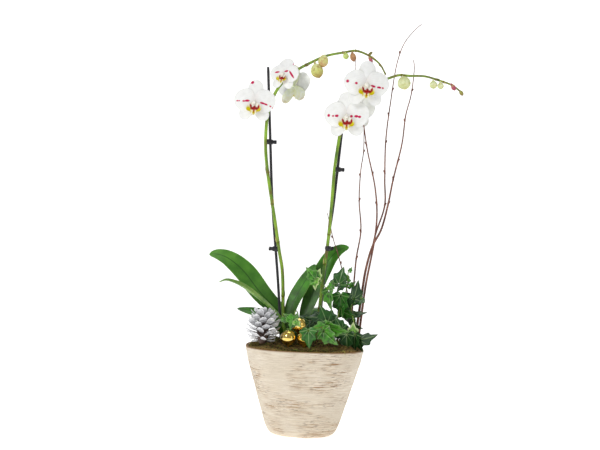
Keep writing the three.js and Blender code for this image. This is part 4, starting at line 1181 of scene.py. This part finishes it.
def addIvyLeaf(shape, x, y, z, length, heading, lean, roll, toneName):
    level, slope = math.radians(heading), math.radians(lean)
    along = Vector((math.cos(slope) * math.cos(level), -math.sin(slope), math.cos(slope) * math.sin(level)))
    face = Vector((0, -1, 0))
    face = (face - along * face.dot(along)).normalized()
    face = Matrix.Rotation(math.radians(roll), 3, along) @ face
    side = along.cross(face)
    tone = leafTones[toneName]
    spokes = [math.radians(a) for a in range(-168, 169, 8)]
    shares = (0.12, 0.35, 0.6, 0.82, 1)
    sheets = []
    for layer in (1, -1):
        rows = []
        for share in shares:
            row = []
            for spoke in spokes:
                degrees = abs(math.degrees(spoke))
                reach = ivyOutline(degrees) * share
                gap = min(abs(math.radians(degrees - v)) for v in ivyVeins) * reach
                across, forward = math.sin(spoke) * reach, math.cos(spoke) * reach
                puff = 0.035 * min(gap * 8, 1) * (1 - share ** 4)
                height = 0.22 * abs(across) - 0.2 * forward * forward + puff
                height += layer * 0.009 * (1 - share ** 3)
                place = Vector((x, y, z)) + (along * forward + side * across * 0.95 + face * height) * length
                row.append(len(shape["points"]))
                addPoint(shape, place, (0.5, share), tone, gap)
            rows.append(row)
        sheets.append(rows)
    top, under = sheets
    for rows, flip in ((top, False), (under, True)):
        for a, b in zip(rows, rows[1:]):
            for i in range(len(spokes) - 1):
                quad = (a[i], b[i], b[i + 1], a[i + 1])
                shape["faces"].append(quad[::-1] if flip else quad)
    for i in range(len(spokes) - 1):
        shape["faces"].append((top[-1][i], under[-1][i], under[-1][i + 1], top[-1][i + 1]))
        shape["faces"].append((top[0][i + 1], under[0][i + 1], under[0][i], top[0][i]))
    for i in (0, len(spokes) - 1):
        for r in range(len(shares) - 1):
            quad = (top[r][i], under[r][i], under[r + 1][i], top[r + 1][i])
            shape["faces"].append(quad if i else quad[::-1])


def makeIvy():
    skin = ivySkin()
    for name, vine in vines.items():
        stems = newShape()
        samples = []
        for route in vine["stems"]:
            curve = curveThrough(route)
            samples += [curve(i / 40) for i in range(41)]
            addTube(stems, route, lambda u: 1.4 - 0.5 * u, 10, 40, [0.3, 0.5, 0.72], 0.3, tone=0.15)
        foliage = newShape()
        for leaf in vine["leaves"]:
            base = Vector(leaf[:3])
            root = min(samples, key=lambda p: (p - base).length)
            if (root - base).length > 0.8:
                sag = Vector((0, 0, -0.12 * (root - base).length))
                stalk = [root, (root + base) / 2 + sag, base]
                addTube(stems, stalk, lambda u: 0.75 - 0.1 * u, 8, 8, tone=0.3)
            addIvyLeaf(foliage, *leaf)
        makePiece(stems, f"{name}_stems", stemMaterial, [name])
        makePiece(foliage, f"{name}_leaves", skin, [name])


makeIvy()
print("ivy ready")

# Twigs: bare branches with alternating buds

twigs = {
    "twig_forked": [
        ([
            (94, 41, 142), (102, 45, 187), (111, 45, 268), (119, 45, 334), (131, 45, 381), (146, 44, 412),
            (158, 40, 464), (166, 36, 515), (181, 32, 590), (186, 30, 647),
            (195, 28, 688), (199, 26, 744), (197, 25, 758),
        ], 3.2, 0.8, [0.53, 0.61, 0.67, 0.8, 0.9]),
        ([
            (131, 45, 381), (136, 46, 406), (152, 50, 462), (150, 50, 515), (149, 50, 596), (155, 50, 668),
            (167, 50, 760), (180, 46, 797), (201, 42, 824), (212, 40, 834),
        ], 1.9, 0.7, [0.18, 0.32, 0.45, 0.57, 0.68, 0.84]),
    ],
    "twig_tall": [
        ([
            (103, 31, 146), (108, 33, 186), (119, 34, 299), (133, 34, 391), (136, 34, 443), (130, 34, 498),
            (111, 34, 575), (98, 34, 646), (80, 34, 738), (80, 34, 754),
        ], 2.7, 0.7, [0.4, 0.52, 0.62, 0.72, 0.81]),
    ],
    "twig_short": [
        ([
            (87, 55, 144), (93, 60, 189), (96, 60, 298), (99, 60, 353), (106, 60, 409), (100, 60, 472),
            (101, 60, 534), (105, 60, 571), (103, 60, 640),
        ], 2.3, 0.7, [0.42, 0.53, 0.66, 0.76, 0.86]),
        ([
            (95, 60, 236), (82, 50, 287), (63, 38, 352), (49, 32, 392), (42, 30, 418), (35, 30, 443),
        ], 1.4, 0.6, [0.5, 0.76]),
    ],
}


# Smooth young bark: reddish brown with paler scuffs and fine rough grain
def twigBark():
    material, tree, shader = startMaterial("twig_bark_rough", 0.7)
    grain = patches(tree, 3, (1, 1, 6), 5, 0.4, 0.7)
    bark = mixed(tree, grain, toLinear("#64392e"), toLinear("#9a6a58"))
    paint(tree, shader, mixed(tree, patches(tree, 30, (1, 1, 1), 3, 0.5, 0.7), bark, toLinear("#4e2c22")))
    roughen(tree, shader, grain, 0.4, 0.6)
    return material


def makeTwigs():
    bark = twigBark()
    for name, branches in twigs.items():
        shape = newShape()
        for route, foot, tip, knobs in branches:
            addTube(shape, route, lambda u: between(foot, tip, u), 12, 80, knobs, 0.5)
            curve = curveThrough(route)
            for i, knob in enumerate(knobs):
                along = directionOf(curve, knob)
                turn = Matrix.Rotation(i * math.pi + 0.6, 3, along)
                out = turn @ Vector((0, 1, 0)).cross(along).normalized()
                base = curve(knob) + out * 0.4
                addEgg(shape, base, base + out * 3 + along * 6, 1.5, 0.4, 0.4, 10, 8)
        makePiece(shape, f"{name}_branches", bark, [name])


makeTwigs()
print("twigs ready")

# Pine cone: open scales round a core, sprayed silver

coneSettings = {"foot": (-83, -74, 180), "tip": (-83, -60, 255), "radius": 32, "scales": 64, "core": 12}


# Sprayed scale: silver paint on the outer faces, and dark brown deep between the scales, partly the bare wood
# left there and partly painted shade
def silveredCone():
    material, tree, shader = startMaterial("silvered_cone_satin", 0.45)
    out = addNode(tree, "Attribute", attribute_name="tones").outputs["Fac"]
    spray = patches(tree, 5, (1, 1, 1), 4, 0.35, 0.6)
    silver = mixed(tree, spray, toLinear("#c6c6c9"), toLinear("#f6f6f8"))
    # Painted shade with bare wood: the inner part of each scale and the core are dark brown
    reach = addNode(tree, "MapRange", {"Value": out, "From Min": 0.3, "From Max": 0.62}).outputs[0]
    paint(tree, shader, mixed(tree, reach, toLinear("#4a362c"), silver))
    shader.inputs["Metallic"].default_value = 0.2
    roughen(tree, shader, patches(tree, 1.5, (1, 1, 1), 5), 0.5, 0.6)
    return material


def makeCone():
    settings = coneSettings
    foot, tip = Vector(settings["foot"]), Vector(settings["tip"])
    axis = tip - foot
    length = axis.length
    spin = Vector((0, 0, 1)).rotation_difference(axis).to_matrix().to_4x4()
    reach = profile([(0, 0.74), (0.15, 0.95), (0.35, 1), (0.6, 0.92), (0.85, 0.66), (1, 0.34)])
    shape = newShape()
    addEgg(shape, (0, 0, 1), (0, 0, length - 6), settings["core"], 0.35, 0.5, tone=0.0)
    for i in range(settings["scales"]):
        rise = (i + 0.5) / settings["scales"]
        turn = i * goldenTurn
        out = Vector((math.cos(turn), math.sin(turn), 0))
        side = Vector((-math.sin(turn), math.cos(turn), 0))
        lift = between(-0.1, 1.5, rise) + rng.uniform(-0.14, 0.14)
        root = rise * (length - 24) + 8
        span = settings["radius"] * reach(rise) * rng.uniform(0.95, 1.12)
        wide = (3.6 + 5.2 * reach(rise)) * rng.uniform(0.85, 1.15)
        twist = rng.uniform(-0.35, 0.35)
        rings = []
        rows = [
            (0.2, 0.35, 1.1), (0.5, 0.55, 1.0), (0.75, 0.9, 1.0),
            (0.88, 1, 1.2), (0.96, 0.72, 1.5), (1, 0.3, 0.9),
        ]
        for share, breadth, thick in rows:
            distance = span * share
            middle = out * distance + Vector((0, 0, root + lift * distance * 0.5 + 3.4 * share ** 4))
            across = (side + Vector((0, 0, twist))).normalized()
            points = []
            for k in range(10):
                angle = k / 10 * math.tau
                bulge = math.sin(angle) * thick * 0.7 - 0.2 * math.cos(angle) ** 2 * wide * breadth
                points.append(middle + across * math.cos(angle) * wide * breadth + Vector((0, 0, bulge)))
            rings.append((points, [(0, share)] * 10, share))
        addLoft(shape, rings)
    matrix = Matrix.Translation(foot * mm) @ spin
    makePiece(shape, "pine_cone_scales", silveredCone(), ["pine_cone"], matrix, 1)


makeCone()
print("cone ready")

# Baubles with a ribbed cap, and the wire pick that holds them

baubleSettings = {"radius": 15, "capRadius": 3, "capHeight": 2.6, "wireRadius": 0.8}
wireRoutes = [
    [(-15, -66, 162), (-16, -66, 172), (-24, -72, 176.5), (-33, -80, 178)],
    [(-15, -66, 164), (-14, -66, 173), (-8, -72, 176.5), (-1, -80, 178)],
    [(-15, -66, 162), (-15, -64, 178), (-14, -58, 192), (-14, -57, 202)],
]


# Gold lacquer on a polished ball: a bright mirror with tiny unevenness
def goldBauble():
    material, tree, shader = startMaterial("gold_bauble_polished", 0.12, Metallic=1.0)
    cloud = patches(tree, 8)
    paint(tree, shader, mixed(tree, cloud, toLinear("#e6c052"), toLinear("#f2d684")))
    roughen(tree, shader, patches(tree, 4), 0.05, 0.25)
    return material


# Lacquered wire: dull gold with a soft highlight
def pickWire():
    material, tree, shader = startMaterial("pick_wire_lacquered", 0.35, Metallic=1.0)
    paint(tree, shader, mixed(tree, patches(tree, 3), toLinear("#8a7234"), toLinear("#a88c48")))
    roughen(tree, shader, patches(tree, 1), 0.05, 0.3)
    return material


def makeBauble(name, gold):
    low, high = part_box(name)
    radius = baubleSettings["radius"]
    centre = Vector(((low.x + high.x) / 2 / mm, (low.y + high.y) / 2 / mm, high.z / mm - radius))
    shape = newShape()
    rings = []
    for i in range(33):
        slope = math.radians(-89 + i * 178 / 32)
        across, rise = radius * math.cos(slope), radius * math.sin(slope)
        turns = [k / 40 * math.tau for k in range(40)]
        points = [centre + Vector((across * math.cos(t), across * math.sin(t), rise)) for t in turns]
        rings.append((points, [(0, 0)] * 40, 0.0))
    addLoft(shape, rings)
    makePiece(shape, f"{name}_ball", gold, [name])
    cap = newShape()
    rings = []
    for past, size in ((-1.2, 3.6), (0.2, 3.5), (0.3, 3.1), (2.4, 2.9), (2.6, 2.2)):
        drop = radius + past
        points = []
        for k in range(36):
            turn = k / 36 * math.tau
            rib = size + 0.15 * math.cos(12 * turn)
            points.append(centre + Vector((rib * math.cos(turn), rib * math.sin(turn), -drop)))
        rings.append((points, [(0, 0)] * 36, 0.0))
    addLoft(cap, rings)
    makePiece(cap, f"{name}_cap", gold)


goldMaterial = goldBauble()
for baubleName in ("bauble_left", "bauble_right", "bauble_upper"):
    makeBauble(baubleName, goldMaterial)
wires = newShape()
for wireRoute in wireRoutes:
    addTube(wires, wireRoute, lambda u: baubleSettings["wireRadius"], 10, 24)
makePiece(wires, "bauble_wire_strands", pickWire(), ["bauble_wire_pick"])
print("baubles ready")
